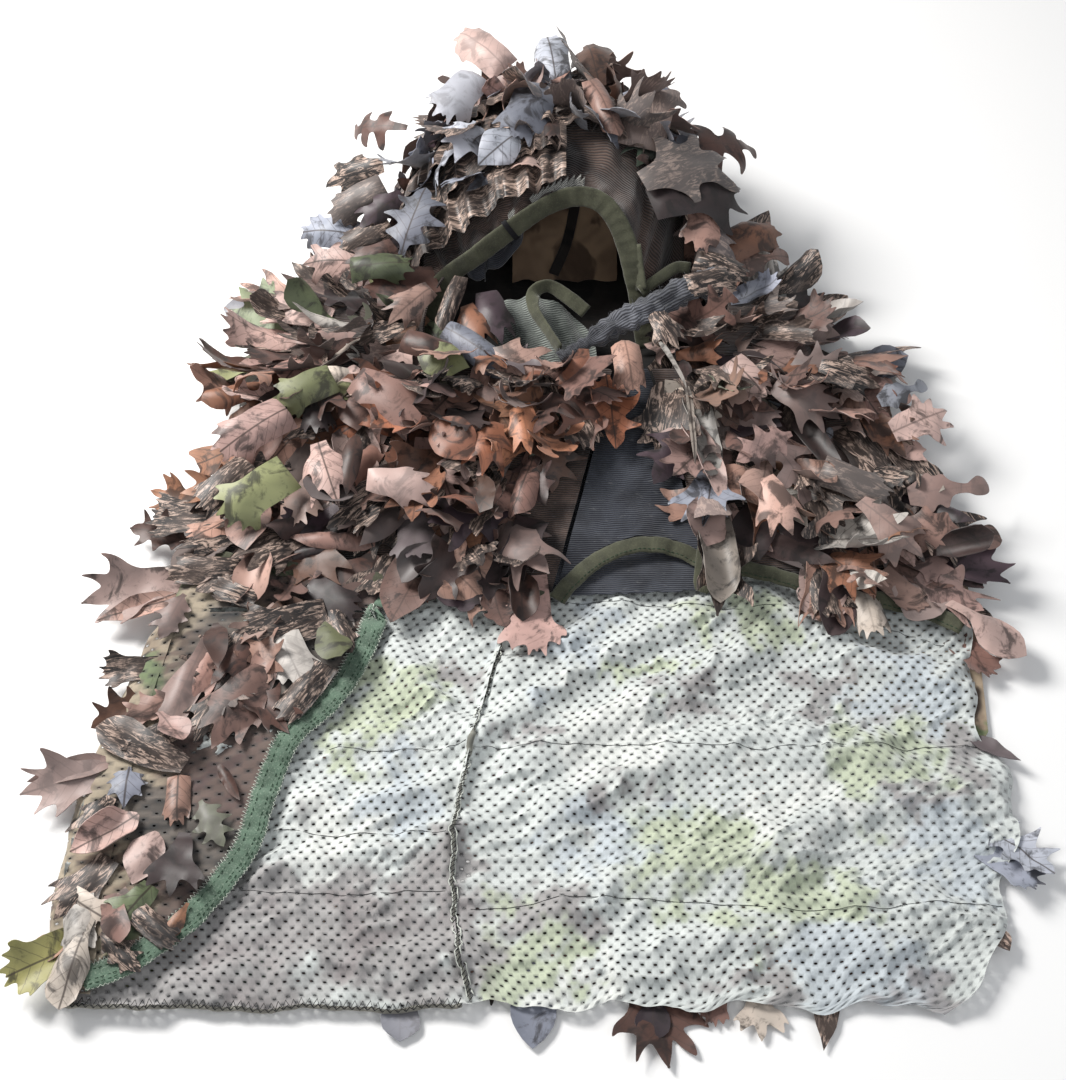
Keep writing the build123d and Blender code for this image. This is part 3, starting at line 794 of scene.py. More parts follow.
def creases(x, y):
    """Sharp narrow creases on top of the folds, mostly slanting up to the wearer's left."""
    slanted = ripple(0.30 * (x * 0.85 + y * 0.52), 1.0 * (y * 0.85 - x * 0.52), 23, 0.026, 2)
    level = ripple(0.35 * x, y, 24, 0.030, 2)
    share = ease(ripple(x, y, 25, 0.16), -0.3, 0.3)
    sharp = 1 - np.abs(share * slanted + (1 - share) * level)
    strength = 0.4 + 0.6 * ease(ripple(x, y, 26, 0.11), -0.4, 0.5)
    return 0.0048 * (sharp ** 3) * strength * ease(-y, 0.09, 0.13)


BACK_ROWS = 2 * int((NECK_Y - HEM_Y) / HOLE_PITCH_Y) + 1
BACK_Y = np.linspace(HEM_Y, NECK_Y, BACK_ROWS)
BACK_SEAM = seam_x(BACK_Y)
BACK_LOW, BACK_HIGH = BACK_Z + 0.0015, BACK_TOP + 0.0185
SEAM_GATHER_REACH = 0.016                      # how far from the centre seam its gathers reach


def outer_edge(node, inner_side, seed):
    """Outer edge of a half at each row: a little out near the hem and wavy on the left."""
    outer = profile(node, Y, BACK_Y, X, 1 - inner_side)
    if inner_side:
        return outer + 0.004 * (1 - ease(BACK_Y, -0.1, 0.0))
    return outer + 0.004 * np.sin(BACK_Y * math.tau / 0.062 + seed) * (1 - ease(BACK_Y, -0.22, -0.12))


def half_plan(left, right, columns, inner_side, seed):
    """A coarse grid between two edges, in plan, whose lowest rows follow the wavy hem."""
    v = np.linspace(0, 1, BACK_ROWS // 2 + 1)[:, None]
    u = np.linspace(0, 1, columns // 3 + 1)[None]
    y = np.broadcast_to(HEM_Y + v * (NECK_Y - HEM_Y), (v.size, u.size)).copy()
    x = np.interp(y[:, 0], BACK_Y, left)[:, None] * (1 - u) + np.interp(y[:, 0], BACK_Y, right)[:, None] * u
    hem_wave = 0.0035 * np.sin(x * math.tau / 0.085 + seed) + 0.002 * np.sin(x * math.tau / 0.041)
    y += hem_wave * (1 - ease(v, 0.0, 0.08)) * (0.4 if inner_side else 1.0)
    return x, y


def wrinkled_half(x, y, seed):
    """The coarse grid buckled into wrinkles between the ground and the folds' highest level."""
    from_seam = x - np.interp(y, BACK_Y, BACK_SEAM)
    near_seam = np.exp(-(from_seam / SEAM_GATHER_REACH) ** 2)
    gather = 0.050 + 0.02 * ripple(x, y, seed + 1, 0.16) + 0.05 * near_seam
    gather = gather * (1 - 0.8 * ease(y, -0.02, 0.06))
    puckers = 0.0014 * near_seam * np.sin(y * math.tau / 0.011 + ripple(x, y, seed + 2, 0.05))
    pinch = -0.004 * near_seam * np.exp(-((y - SEAM_PINCH_Y) / 0.012) ** 2)
    under_flap = ease(-from_seam, 0.060, 0.090)
    ceiling = BACK_TOP + 0.016 * (1 - 0.80 * ease(y, -0.12, -0.05)) * (1 - 0.85 * under_flap) + 0.0015
    flat = np.stack([x, y, np.full_like(x, BACK_TOP - 0.002)], -1)
    return gathered(flat, gather, BACK_LOW, ceiling, back_height(x, y) + puckers + pinch)


def back_half(name, node, inner_side, seed):
    """One half of the back. inner_side is 0 where the seam is its left edge in plan, else 1."""
    outer = outer_edge(node, inner_side, seed)
    left, right = (BACK_SEAM, outer) if inner_side == 0 else (outer, BACK_SEAM)
    width = np.mean(np.abs(outer - BACK_SEAM))
    columns = 2 * int(width / (HOLE_PITCH_X / 2)) + 1
    cloth = wrinkled_half(*half_plan(left, right, columns, inner_side, seed), seed)
    fine = finer(cloth, BACK_ROWS, columns)
    fine[..., 2] = np.minimum(fine[..., 2] + creases(fine[..., 0], fine[..., 1]), BACK_HIGH)
    piece = perforated(name, fine, MESH_INSIDE, print_tone(fine[..., 0], fine[..., 1]))
    ride(piece, "cape", "mesh_inside", node)
    return fine


RIGHT_BACK = back_half("back_mesh_right", "back_panel_right", 1, 31)
LEFT_BACK = back_half("back_mesh_left", "back_panel_left", 0, 41)


EDGE_REACH = 0.004                             # how far outside the cloth its edge is still taken


def back_z(x, y):
    """Height of the wrinkled back at a point in plan."""
    best = None
    for grid in (RIGHT_BACK, LEFT_BACK):
        row = int(np.clip(round((y - HEM_Y) / (NECK_Y - HEM_Y) * (len(grid) - 1)), 0, len(grid) - 1))
        xs = grid[row, :, 0]
        if xs[0] - EDGE_REACH <= x <= xs[-1] + EDGE_REACH:
            best = float(np.interp(x, xs, grid[row, :, 2]))
    return BACK_TOP if best is None else best


# ---------------------------------------------------------------- leaves
# Leaves with fingers: the outline of one side from stalk to point, as (reach across, place along)
# of a leaf 1 long. Its corners are rounded off afterwards.
FINGERED = {
    "oak": [(0.04, 0.0), (0.05, 0.12), (0.14, 0.18), (0.31, 0.25), (0.17, 0.31), (0.14, 0.38),
            (0.28, 0.45), (0.43, 0.50), (0.29, 0.54), (0.17, 0.57), (0.14, 0.64), (0.24, 0.72),
            (0.35, 0.82), (0.21, 0.79), (0.11, 0.79), (0.10, 0.90), (0.0, 1.0)],
    "hand": [(0.15, 0.0), (0.20, 0.20), (0.23, 0.42), (0.38, 0.56), (0.47, 0.72), (0.34, 0.66),
             (0.21, 0.65), (0.25, 0.80), (0.29, 0.96), (0.18, 0.85), (0.10, 0.76), (0.07, 0.88),
             (0.0, 1.02)],
    "claw": [(0.10, 0.0), (0.14, 0.20), (0.27, 0.31), (0.45, 0.36), (0.33, 0.43), (0.19, 0.46),
             (0.22, 0.62), (0.35, 0.78), (0.37, 0.93), (0.25, 0.83), (0.11, 0.71), (0.07, 0.85),
             (0.0, 0.99)],
    "strip": [(0.22, 0.0), (0.23, 0.28), (0.22, 0.55), (0.32, 0.66), (0.35, 0.76), (0.24, 0.72),
              (0.25, 0.86), (0.18, 0.80), (0.10, 0.78), (0.10, 0.97), (0.03, 0.85), (0.0, 0.88)],
    "fork": [(0.08, 0.0), (0.13, 0.22), (0.20, 0.48), (0.30, 0.58), (0.42, 0.76), (0.30, 0.72),
             (0.33, 0.90), (0.20, 0.79), (0.09, 0.74), (0.07, 0.90), (0.0, 1.0)],
    "maple": [(0.03, 0.0), (0.04, 0.13), (0.20, 0.12), (0.34, 0.16), (0.26, 0.25), (0.36, 0.33),
              (0.50, 0.37), (0.34, 0.42), (0.28, 0.48), (0.34, 0.60), (0.40, 0.72), (0.22, 0.66),
              (0.14, 0.70), (0.0, 1.0)],
    "knobbed": [(0.04, 0.0), (0.05, 0.20), (0.08, 0.30), (0.24, 0.33), (0.35, 0.38), (0.32, 0.47),
                (0.18, 0.47), (0.09, 0.50), (0.08, 0.60), (0.20, 0.66), (0.30, 0.74), (0.24, 0.82),
                (0.12, 0.78), (0.05, 0.76), (0.05, 0.86), (0.12, 0.92), (0.10, 1.0), (0.0, 1.03)],
    "stalked": [(0.10, 0.0), (0.15, 0.14), (0.24, 0.24), (0.16, 0.32), (0.22, 0.42), (0.10, 0.47),
                (0.055, 0.56), (0.05, 0.70), (0.10, 0.76), (0.135, 0.87), (0.09, 0.98), (0.0, 1.01)],
}
CORNER_CUT = 0.22
# Round leaves: half width at evenly spaced places from stalk to point.
ROUNDED = {
    "spoon": [0.06, 0.05, 0.05, 0.07, 0.16, 0.24, 0.26, 0.22, 0.0],
    "drop": [0.04, 0.05, 0.08, 0.14, 0.20, 0.23, 0.22, 0.15, 0.0],
    "beech": [0.03, 0.18, 0.30, 0.35, 0.36, 0.32, 0.24, 0.12, 0.0],
    "lance": [0.03, 0.09, 0.14, 0.16, 0.16, 0.14, 0.10, 0.05, 0.0],
    "stem": [0.02, 0.03, 0.035, 0.035, 0.03, 0.03, 0.03, 0.02, 0.0],
    "tongue": [0.10, 0.14, 0.17, 0.18, 0.20, 0.22, 0.22, 0.17, 0.0],
}
VARIANTS = 5


def fingered_side(shape, draw):
    """One side of a fingered leaf's outline, from stalk to point, with its corners a little moved."""
    line = np.array(FINGERED[shape])
    line[1:-1] += draw.uniform(-0.022, 0.022, line[1:-1].shape)
    for _ in range(2):
        before = line[:-1] * (1 - CORNER_CUT) + line[1:] * CORNER_CUT
        after = line[:-1] * CORNER_CUT + line[1:] * (1 - CORNER_CUT)
        line = np.vstack([line[:1], np.stack([before, after], 1).reshape(-1, 2), line[-1:]])
    keep = np.r_[True, np.linalg.norm(np.diff(line, axis=0), axis=1) > 0.008]
    keep[-1] = True
    line = line[keep]
    line[:, 0] = np.maximum(line[:, 0], 0.012 * (np.arange(len(line)) < len(line) - 1))
    return line


def rounded_side(shape, draw):
    """One side of a round leaf's outline, from stalk to point, with a slight wave."""
    width = np.array(ROUNDED[shape])
    t = 1 - np.cos(np.linspace(0, math.pi / 2, 18))
    t = np.sin(t * math.pi / 2)
    half = np.interp(t, np.linspace(0, 1, len(width)), width)
    half = half * (1 + 0.05 * np.sin(t * draw.uniform(9, 16) + draw.uniform(0, 6)))
    return np.column_stack([half, t])


def flat_turn(points, faces):
    """Twice the area of each triangle in plan, below 0 where its corners go clockwise."""
    a, b, c = (points[faces[:, k]] for k in range(3))
    return (b[:, 0] - a[:, 0]) * (c[:, 1] - a[:, 1]) - (b[:, 1] - a[:, 1]) * (c[:, 0] - a[:, 0])


def flat_mesh(outline, pitch):
    """Triangles about pitch wide that fill a closed outline: points and faces."""
    low, high = outline.min(0), outline.max(0)
    inner = []
    row = 0
    y = low[1] + pitch * 0.5
    while y < high[1]:
        x = low[0] + pitch * (0.5 if row % 2 else 1.0)
        while x < high[0]:
            inner.append((x, y))
            x += pitch
        y += pitch * 0.87
        row += 1
    inner = np.array(inner)
    nearest = np.min(np.linalg.norm(inner[:, None] - outline[None], axis=2), axis=1)
    inner = inner[nearest > pitch * 0.45]
    both = np.vstack([outline, inner])
    loop = [(i, (i + 1) % len(outline)) for i in range(len(outline))]
    found, _, faces, _, _, _ = delaunay_2d_cdt([Vector(p) for p in both], loop, [], 1, 1e-7)
    points = np.array([tuple(p) for p in found])
    faces = np.array([f[:] for f in faces])
    turned = flat_turn(points, faces) < 0
    faces[turned] = faces[turned][:, ::-1]
    used = np.unique(faces)
    number = np.full(len(points), -1)
    number[used] = np.arange(len(used))
    return points[used], number[faces]


LEAF_PITCH = 0.095                             # size of a leaf's triangles, of a leaf 1 long


def leaf_shapes():
    """Every leaf shape, flat, in a few variants: points, faces, rim, area and width."""
    made = {}
    for table, side, seed in ((FINGERED, fingered_side, 500), (ROUNDED, rounded_side, 590)):
        for number, shape in enumerate(table):
            for variant in range(VARIANTS):
                draw = rng(seed + 10 * number + variant)
                left, right = side(shape, draw) * (-1, 1), side(shape, draw)
                points, faces = flat_mesh(np.vstack([right[:-1], left[::-1]]), LEAF_PITCH)
                area = 0.5 * np.abs(flat_turn(points, faces)).sum()
                made[shape, variant] = points, faces, rim_of(faces), area, np.ptp(points[:, 0])
    return made


SHAPES = leaf_shapes()

# Printed colours of the leaves, as seen. "bark" leaves are streaked like tree bark.
COLOURS = {
    "taupe": [(142, 112, 102), (164, 134, 123), (106, 80, 73), (124, 96, 88), (150, 118, 105)],
    "pink": [(180, 155, 148), (166, 140, 133), (152, 125, 119)],
    "moss": [(126, 124, 66), (144, 140, 88)],
    "dark": [(62, 46, 44), (48, 36, 37), (58, 45, 52), (76, 52, 45)],
    "bark": [(66, 56, 52), (54, 46, 44)],
    "grey": [(138, 143, 156), (114, 118, 130), (154, 158, 168)],
    "green": [(92, 102, 74), (118, 128, 102), (70, 86, 72), (112, 116, 82)],
    "rust": [(154, 98, 72), (170, 116, 88), (112, 68, 50), (132, 88, 70)],
    "brown": [(112, 76, 58), (90, 64, 52), (132, 94, 72)],
    "pale": [(170, 160, 150), (182, 177, 171)],
}
TOOTHY = ["oak", "hand", "hand", "strip", "strip", "strip", "fork", "claw", "knobbed"]
LOBED = ["spoon", "drop", "beech", "lance", "tongue"]


BRIGHTNESS = (0.55, 1.30)                      # how much darker or lighter a leaf may be printed
DARKEST, LIGHTEST = 0.004, 0.85
REVERSED_SHARE = 0.16                          # leaves that lie with their pale back up
BARK_SHARE = 0.12                              # other leaves that carry the bark print too
CRUMPLE = 0.022                                # of a leaf 1 long
PRESSED_HIGH, PRESSED_DEEP = 0.0035, 0.020     # how a leaf gives way to what it lies on
LYING_LENGTH = 1.06                            # of a leaf that lies bent, of its reach in plan
RUFFLE_STEP, RUFFLE_ROWS = 0.0022, 9


def nearly(value):
    """The same number, kept away from 0 so that it can divide."""
    return value if abs(value) > 1e-3 else 1e-3


class Leaves(Heap):
    """A group of leaves that is one piece, with the flat size of the cloth they were cut from."""

    def __init__(self, seed, palette, sizes=(0.050, 0.085), toothed=0.72):
        super().__init__()
        self.draw = rng(seed)
        self.names = list(palette)
        self.weights = np.array([palette[n] for n in self.names], float)
        self.sizes, self.toothed = sizes, toothed
        self.area, self.lengths = 0.0, []

    def bent(self, points, width, lift, curl, roll, twist):
        """A flat leaf 1 long bent along its length, rolled about it and twisted: sideways,
        forward and upward places of its points."""
        across, along = points[:, 0], points[:, 1]
        bend = lift + curl * along
        curl, roll = nearly(curl), nearly(roll)
        length = (np.sin(bend) - math.sin(lift)) / curl
        height = (math.cos(lift) - np.cos(bend)) / curl
        wide = max(width / 2, 0.1)
        turn = roll * across / wide
        side = np.sin(turn) * wide / roll
        rise = (1 - np.cos(turn)) * wide / roll
        rise = rise + CRUMPLE * ripple(across * 1.4, along, int(self.draw.integers(1e6)), 0.55, 2)
        spin = twist * along
        side, rise = (side * np.cos(spin) - rise * np.sin(spin),
                      side * np.sin(spin) + rise * np.cos(spin))
        return side, length - rise * np.sin(bend), height + rise * np.cos(bend)

    def settled(self, body, floor, ceiling, level):
        """The leaf's points kept between floor and ceiling, or pressed flat into a level."""
        if level is not None:
            rise = body[:, 2] - body[:, 2].min()
            base = self.draw.uniform(level[0], 0.5 * (level[0] + level[1]))
            body[:, 2] = base + rise / max(rise.max(), 1e-6) * (level[1] - base)
        ground = floor(body[:, 0], body[:, 1]) if callable(floor) else floor
        lowest = ground + LEAF_CLOTH + self.draw.uniform(0, 0.003)
        sunk = np.maximum(lowest - body[:, 2], 0)
        eased = lowest + PRESSED_HIGH * (1 - np.exp(-sunk / PRESSED_DEEP))
        body[:, 2] = np.minimum(np.where(sunk > 0, eased, body[:, 2]), ceiling)
        return body

    def leaf(self, at, toward, up, lift=0.3, curl=0.5, roll=0.6, twist=0.3, size=None,
             shape=None, family=None, floor=0.0005, ceiling=CEILING, level=None):
        """One leaf: its stalk at a point, bent up from the surface and rolled about its length."""
        draw = self.draw
        family = family or draw.choice(self.names, p=self.weights / self.weights.sum())
        shape = shape or draw.choice(TOOTHY if draw.random() < self.toothed else LOBED)
        size = size or draw.uniform(*self.sizes)
        points, faces, rim, area, width = SHAPES[shape, draw.integers(VARIANTS)]
        colour = srgb(*COLOURS[family][draw.integers(len(COLOURS[family]))])
        colour = np.clip(colour * draw.uniform(*BRIGHTNESS), DARKEST, LIGHTEST)
        side, length, height = self.bent(points, width, lift, curl, roll, twist)
        up = unit(up)
        toward = unit(toward - up * np.dot(toward, up))
        right = np.cross(toward, up)
        body = at + size * (side[:, None] * right + length[:, None] * toward + height[:, None] * up)
        body = self.settled(body, floor, ceiling, level)
        both, solid = thick(body, faces, rim, LEAF_CLOTH)
        place = points * size + draw.uniform(-5, 5, 2)
        back = np.repeat([0.0, 1.0], len(points))
        if draw.random() < REVERSED_SHARE:
            back = 1 - back
        self.add(both, solid, colour, np.vstack([place, place]),
                 reverse=back,
                 bark=1.0 if family == "bark" or draw.random() < BARK_SHARE else 0.0,
                 vein=draw.choice([0.0, 0.0, 0.25, 0.5, 0.8]),
                 across=np.tile(points[:, 0] * size, 2),
                 along=np.tile(points[:, 1] * size, 2))
        self.area += area * size ** 2
        self.lengths.append(size)

    def placed(self, stalk, tip, shape, family, roll=-0.8, arch=0.5, face=(0, -0.45, 0.9), **rest):
        """One leaf that arches from its stalk to its tip with its outer side turned to face."""
        stalk, tip = np.array(stalk, float), np.array(tip, float)
        reach = tip - stalk
        along = unit(reach)
        up = np.array(face, float) - along * np.dot(face, along)
        size = float(np.linalg.norm(reach)) * arch / math.sin(arch)
        self.leaf(stalk, reach, up, arch, -2 * arch, roll, 0.2, size=size, shape=shape,
                  family=family, **rest)

    def lying(self, stalk, tip, shape, family, z, lift, curl, roll, twist=0.2, floor=0.0006):
        """One leaf where it lies, from its stalk to its tip in plan."""
        reach = np.array([*tip, 0.0]) - np.array([*stalk, 0.0])
        self.leaf((*stalk, z), reach, UP, lift, curl, roll, twist,
                  size=float(np.linalg.norm(reach)) * LYING_LENGTH, shape=shape, family=family, floor=floor)

    def row(self, frames, spacing, lift=(0.2, 1.0), curl=(-1.7, 0.7), roll=(-2.3, 1.7), spread=0.8,
            miss=0.0, **rest):
        """Leaves along a line of frames (point, direction to hang, surface normal)."""
        draw = self.draw
        lengths = along_line(np.array([f[0] for f in frames]))
        place = draw.uniform(0, spacing * 0.6)
        while place < lengths[-1]:
            i = min(int(np.searchsorted(lengths, place)), len(frames) - 1)
            place += spacing * draw.uniform(0.65, 1.35)
            if draw.random() < miss:
                continue
            point, toward, up = (np.asarray(v, float) for v in frames[i])
            side = unit(np.cross(toward, up))
            aside = draw.normal(0, spread * 0.6)
            direction = math.cos(aside) * unit(toward) + math.sin(aside) * side
            jitter = draw.uniform(-0.006, 0.006) * side + draw.uniform(-0.005, 0.005) * unit(toward)
            self.leaf(point + jitter, direction, up, draw.uniform(*lift), draw.uniform(*curl),
                      draw.uniform(*roll), draw.uniform(-0.7, 0.7), **rest)

    def ruffle(self, frames, width, wave, height, family="bark"):
        """A gathered band of printed cloth sewn along a line, standing in folds."""
        draw = self.draw
        given = [np.array([f[k] for f in frames], float) for k in range(3)]
        lengths = along_line(given[0])
        at = np.arange(0, lengths[-1], RUFFLE_STEP)
        point, toward, up = (np.column_stack([np.interp(at, lengths, v[:, k]) for k in range(3)])
                             for v in given)
        toward, up = unit(toward), unit(up)
        phase = draw.uniform(0, 6)
        wander = ripple(at, at * 0, int(draw.integers(1e6)), 0.05)[None, :, None]
        across = np.linspace(0, 1, RUFFLE_ROWS)[:, None, None]
        swing = np.sin(at[None, :, None] * math.tau / wave + phase + 4.5 * wander)
        fold = swing * (0.55 + 0.45 * wander)
        swell = height * (0.35 + 0.65 * across) * (1 + fold) / 2 + 0.004 * np.sin(across * math.pi)
        reach = width * across * (1 + 0.15 * wander)
        cloth = (point[None] + toward[None] * reach + up[None] * (swell + 0.002)).reshape(-1, 3)
        faces = facing(cloth, grid_faces(RUFFLE_ROWS, len(at)), up.mean(0))
        both, solid = thick(cloth, faces, rim_of(faces), LEAF_CLOTH)
        colour = srgb(*COLOURS[family][0]) * draw.uniform(0.8, 1.2)
        place = np.column_stack([np.repeat(across.ravel() * width, len(at)), np.tile(at, RUFFLE_ROWS) * 1.2])
        place = place + draw.uniform(-5, 5, 2)
        self.add(both, solid, colour, np.vstack([place, place]), reverse=0.0,
                 bark=1.0 if family == "bark" else 0.0, vein=0.0, across=1.0, along=0.0)
        self.area += 0.5 * np.linalg.norm(pushes(cloth, faces), axis=1).sum()
        self.lengths.append(lengths[-1])

    def finish(self, name, body, slot, nodes, rests_on, held="gathered"):
        """Makes the group a piece and puts it on its body."""
        piece = self.make(name, LEAF)
        piece.data.set_sharp_from_angle(angle=math.radians(LEAF_BEND))
        ride(piece, body, slot, *nodes)
        length = float(np.mean(self.lengths))


# ---------------------------------------------------------------- sheets cut to a CAD outline
def plan_outline(node):
    """The longest outline of a node's upper faces in plan, in order, anticlockwise."""
    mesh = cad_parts[node].data
    used = {}
    for face in mesh.polygons:
        if face.normal.z > 0.4:
            for a, b in zip(face.vertices[:], [*face.vertices[1:], face.vertices[0]]):
                used[(a, b)] = True
    onward = {a: b for a, b in used if (b, a) not in used}
    loops = []
    while onward:
        first, at = onward.popitem()
        loop = [first]
        while at != first and at in onward:
            loop.append(at)
            at = onward.pop(at)
        loops.append([mesh.vertices[i].co[:2] for i in loop])
    lengths = [along_line(np.array([*loop, loop[0]]))[-1] for loop in loops]
    return np.array(loops[int(np.argmax(lengths))])


def clean_loop(loop, step):
    """A closed outline with its points a step apart."""
    line = even(np.vstack([loop, loop[:1]]), step)
    return line[:-1]


def cloth_piece(name, outline, height, material, thickness=0.0012, pitch=0.007):
    """A thin cloth cut to an outline in plan, whose upper face lies at height(x, y)."""
    points, faces = flat_mesh(clean_loop(np.asarray(outline), pitch * 0.8), pitch)
    x, y = points[:, 0], points[:, 1]
    body = np.column_stack([x, y, height(x, y)])
    both, solid = thick(body, faces, rim_of(faces), thickness)
    piece = new_piece(name, both, solid, material, None, np.vstack([points, points]))
    piece.data.set_sharp_from_angle(angle=math.radians(LEAF_BEND))
    return piece, 0.5 * np.abs(flat_turn(points, faces)).sum()


LEAST_FILL = 0.32                              # share of its flat cloth that a cut piece fills


def declare(area, outline):
    """Works out the width and length of the flat cloth that a cut piece was made from, and keeps neither."""
    width, length = (float(v) for v in np.ptp(outline, axis=0))
    width = min(width, area / LEAST_FILL / length)


TAPE_STEP = 0.0030
TAPE_SIDES = 14


def tape(name, path, up, width, material, puckers, wave, seed, fat):
    """A folded binding along an edge: a flattened roll width by twice fat, with small puckers as
    high as puckers every wave. Gives the piece, its middle line, and its sideways and upward
    directions."""
    path = even(path, TAPE_STEP)
    along = tangents(path)
    side = unit(np.cross(along, unit(respaced(up, len(path)))))
    up = np.cross(side, along)
    lengths = np.arange(len(path)) * TAPE_STEP
    pucker = puckers * np.sin(lengths * math.tau / wave + 2 * ripple(lengths, lengths * 0, seed, 0.07))
    angle = np.linspace(0, math.tau, TAPE_SIDES, endpoint=False)
    flat_x = np.sign(np.cos(angle)) * np.abs(np.cos(angle)) ** 0.55 * width / 2
    flat_z = np.sign(np.sin(angle)) * np.abs(np.sin(angle)) ** 0.75 * fat
    edge = np.abs(flat_x) / (width / 2)
    wobble = 1 + 0.05 * ripple(lengths, lengths * 0, seed + 1, 0.05)
    points = (path[:, None] + side[:, None] * (flat_x[None, :, None] * wobble[:, None, None])
              + up[:, None] * (flat_z[None] + pucker[:, None] * (1 - 0.3 * edge[None]))[..., None])
    flat = np.column_stack([np.repeat(lengths, TAPE_SIDES), np.tile(flat_x, len(path))])
    faces = tube_faces(len(path), TAPE_SIDES)
    piece = new_piece(name, points.reshape(-1, 3), faces, material, None, flat)
    return piece, path, side, up


def bind(body, slot, nodes, *what, **how):
    """A tape that rides a body; gives its middle line and directions."""
    piece, *line = tape(*what, **how)
    ride(piece, body, slot, *nodes)
    return line


def stitches(heap, path, pitch, length, radius=THREAD, lift=0.0004, slant=0.0):
    """Short stitches along a line on a level cloth."""
    path = even(path, pitch)
    along = tangents(path)
    side = np.cross(along, UP)
    for point, forward, aside in zip(path, along, side):
        half = (forward * math.cos(slant) + aside * math.sin(slant)) * length / 2
        heap.tube(np.array([point - half, point + np.array(UP) * lift, point + half]), radius)


def zigzag(heap, path, pitch, width, radius=THREAD, lift=0.0005):
    """An overlocking thread that swings from side to side along a line on a level cloth."""
    path = even(path, pitch / 2)
    side = np.cross(tangents(path), UP)
    swing = np.where(np.arange(len(path)) % 2 == 0, 0.5, -0.5)[:, None] * width
    heap.tube(path + side * swing + np.array(UP) * lift, radius)


# ---------------------------------------------------------------- trims of the back
def on_back(points, lift=0.0008):
    """A line in plan laid on the wrinkled back."""
    return np.array([(x, y, back_z(x, y) + lift) for x, y in points])


# Threads of the leaf strips on the other side, as lines in plan.
STRIP_LINES = [
    [(-0.026, -0.115), (0.052, -0.118), (0.129, -0.123), (0.228, -0.130), (0.318, -0.160)],
    [(-0.042, -0.252), (0.060, -0.247), (0.180, -0.252), (0.330, -0.247)],
    [(-0.043, -0.378), (0.090, -0.372), (0.200, -0.380), (0.324, -0.376)],
    [(-0.162, -0.250), (-0.100, -0.252), (-0.049, -0.249)],
    [(-0.186, -0.319), (-0.110, -0.321), (-0.051, -0.318)],
    [(-0.209, -0.365), (-0.120, -0.367), (-0.050, -0.364)],
    [(-0.050, -0.062), (-0.150, -0.066), (-0.240, -0.070)],
]
SEAM_GREY = srgb(122, 122, 114)
SEAM_EDGE = srgb(196, 200, 192)
HEM_GREY = srgb(128, 126, 118)


def back_stitch_lines():
    """The thin dark threads that hold the leaf strips on the other side."""
    heap = Heap()
    for number, line in enumerate(STRIP_LINES):
        plan = curve(line, 0.004)
        plan[:, 1] += 0.0016 * ripple(plan[:, 0], plan[:, 1], 60 + number, 0.05)
        heap.tube(on_back(plan, 0.0002), 0.00022)
    ride(heap.make("leaf_strip_threads", BLACK_THREAD), "cape", "black_thread")


def centre_seam():
    """The puckered seam allowance of the centre back, its two raw edges and its stitches."""
    y = np.arange(HEM_Y + 0.004, 0.085, 0.0022)
    x = seam_x(y) + 0.0012 * ripple(y, y * 0, 71, 0.03)
    wave = ripple(y, y * 0, 72, 0.012, 2)
    swell = 0.0009 + 0.0005 * ripple(y, y * 0, 73, 0.03)
    swell = swell + 0.0018 * np.exp(-((y - SEAM_PINCH_Y) / 0.010) ** 2)
    line = np.column_stack([x + 0.0007 * wave, y, [back_z(a, b) for a, b in zip(x, y)]])
    line[:, 2] = np.maximum(line[:, 2] + 0.0006, BACK_Z + 0.0025)
    sides = 8
    tone = np.repeat(SEAM_GREY[None] * (1 + 0.4 * wave[:, None]), sides, 0)
    heap = Heap()
    heap.tube(line, np.abs(swell), sides, np.clip(tone, 0.02, 1), rim=0.0)
    for shift, offset in ((-0.0016, 0.0), (0.0017, 0.0035)):
        side = line + np.column_stack([np.full(len(y), shift) + 0.0005 * wave,
                                       np.full(len(y), offset), np.full(len(y), 0.0004)])
        heap.tube(side, 0.0005, tone=SEAM_EDGE, rim=0.0)
    ride(heap.make("centre_back_seam_roll", MESH_INSIDE), "cape", "black_thread", "centre_back_seam")
    threads = Heap()
    stitches(threads, line + (0, 0, 0.0012), 0.0034, 0.0042, 0.00032, 0.0007, 0.9)
    ride(threads.make("centre_back_seam_stitches", BLACK_THREAD), "cape", "black_thread")


def hem_overlock():
    """The rolled hem of the right half and its dark zigzag thread."""
    low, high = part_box("hem_overlock")
    x = np.arange(low.x + 0.004, high.x - 0.002, 0.003)
    y = np.interp(x, RIGHT_BACK[0, :, 0], RIGHT_BACK[0, :, 1]) - 0.0010
    z = np.interp(x, RIGHT_BACK[0, :, 0], RIGHT_BACK[0, :, 2])
    line = np.column_stack([x, y, np.maximum(z, BACK_Z + 0.002)])
    heap = Heap()
    heap.tube(line, 0.0016 + 0.0003 * ripple(x, x * 0, 75, 0.02), 8, HEM_GREY, rim=0.0)
    ride(heap.make("right_hem_roll", MESH_INSIDE), "cape", "mesh_inside")
    threads = Heap()
    zigzag(threads, line + (0, 0.0022, 0.0016), 0.0052, 0.0056, 0.00042)
    zigzag(threads, line + (0.001, -0.0004, 0.0016), 0.0052, 0.0026, 0.00042)
    ride(threads.make("right_hem_overlock", BLACK_THREAD), "cape", "black_thread", "hem_overlock")


back_stitch_lines()
centre_seam()
hem_overlock()


# ---------------------------------------------------------------- the right front, folded over
FLAP_GROUND = srgb(158, 146, 128)
# Shapes printed on the ground: seed, level above which it shows, stretch, colour.
FLAP_SHAPES = [
    (81, 0.10, 1.0, srgb(140, 126, 110)),
    (82, 0.35, 2.2, srgb(108, 92, 82)),
    (83, 0.50, 3.0, srgb(54, 46, 45)),
    (84, 0.75, 1.0, srgb(108, 120, 90)),
]
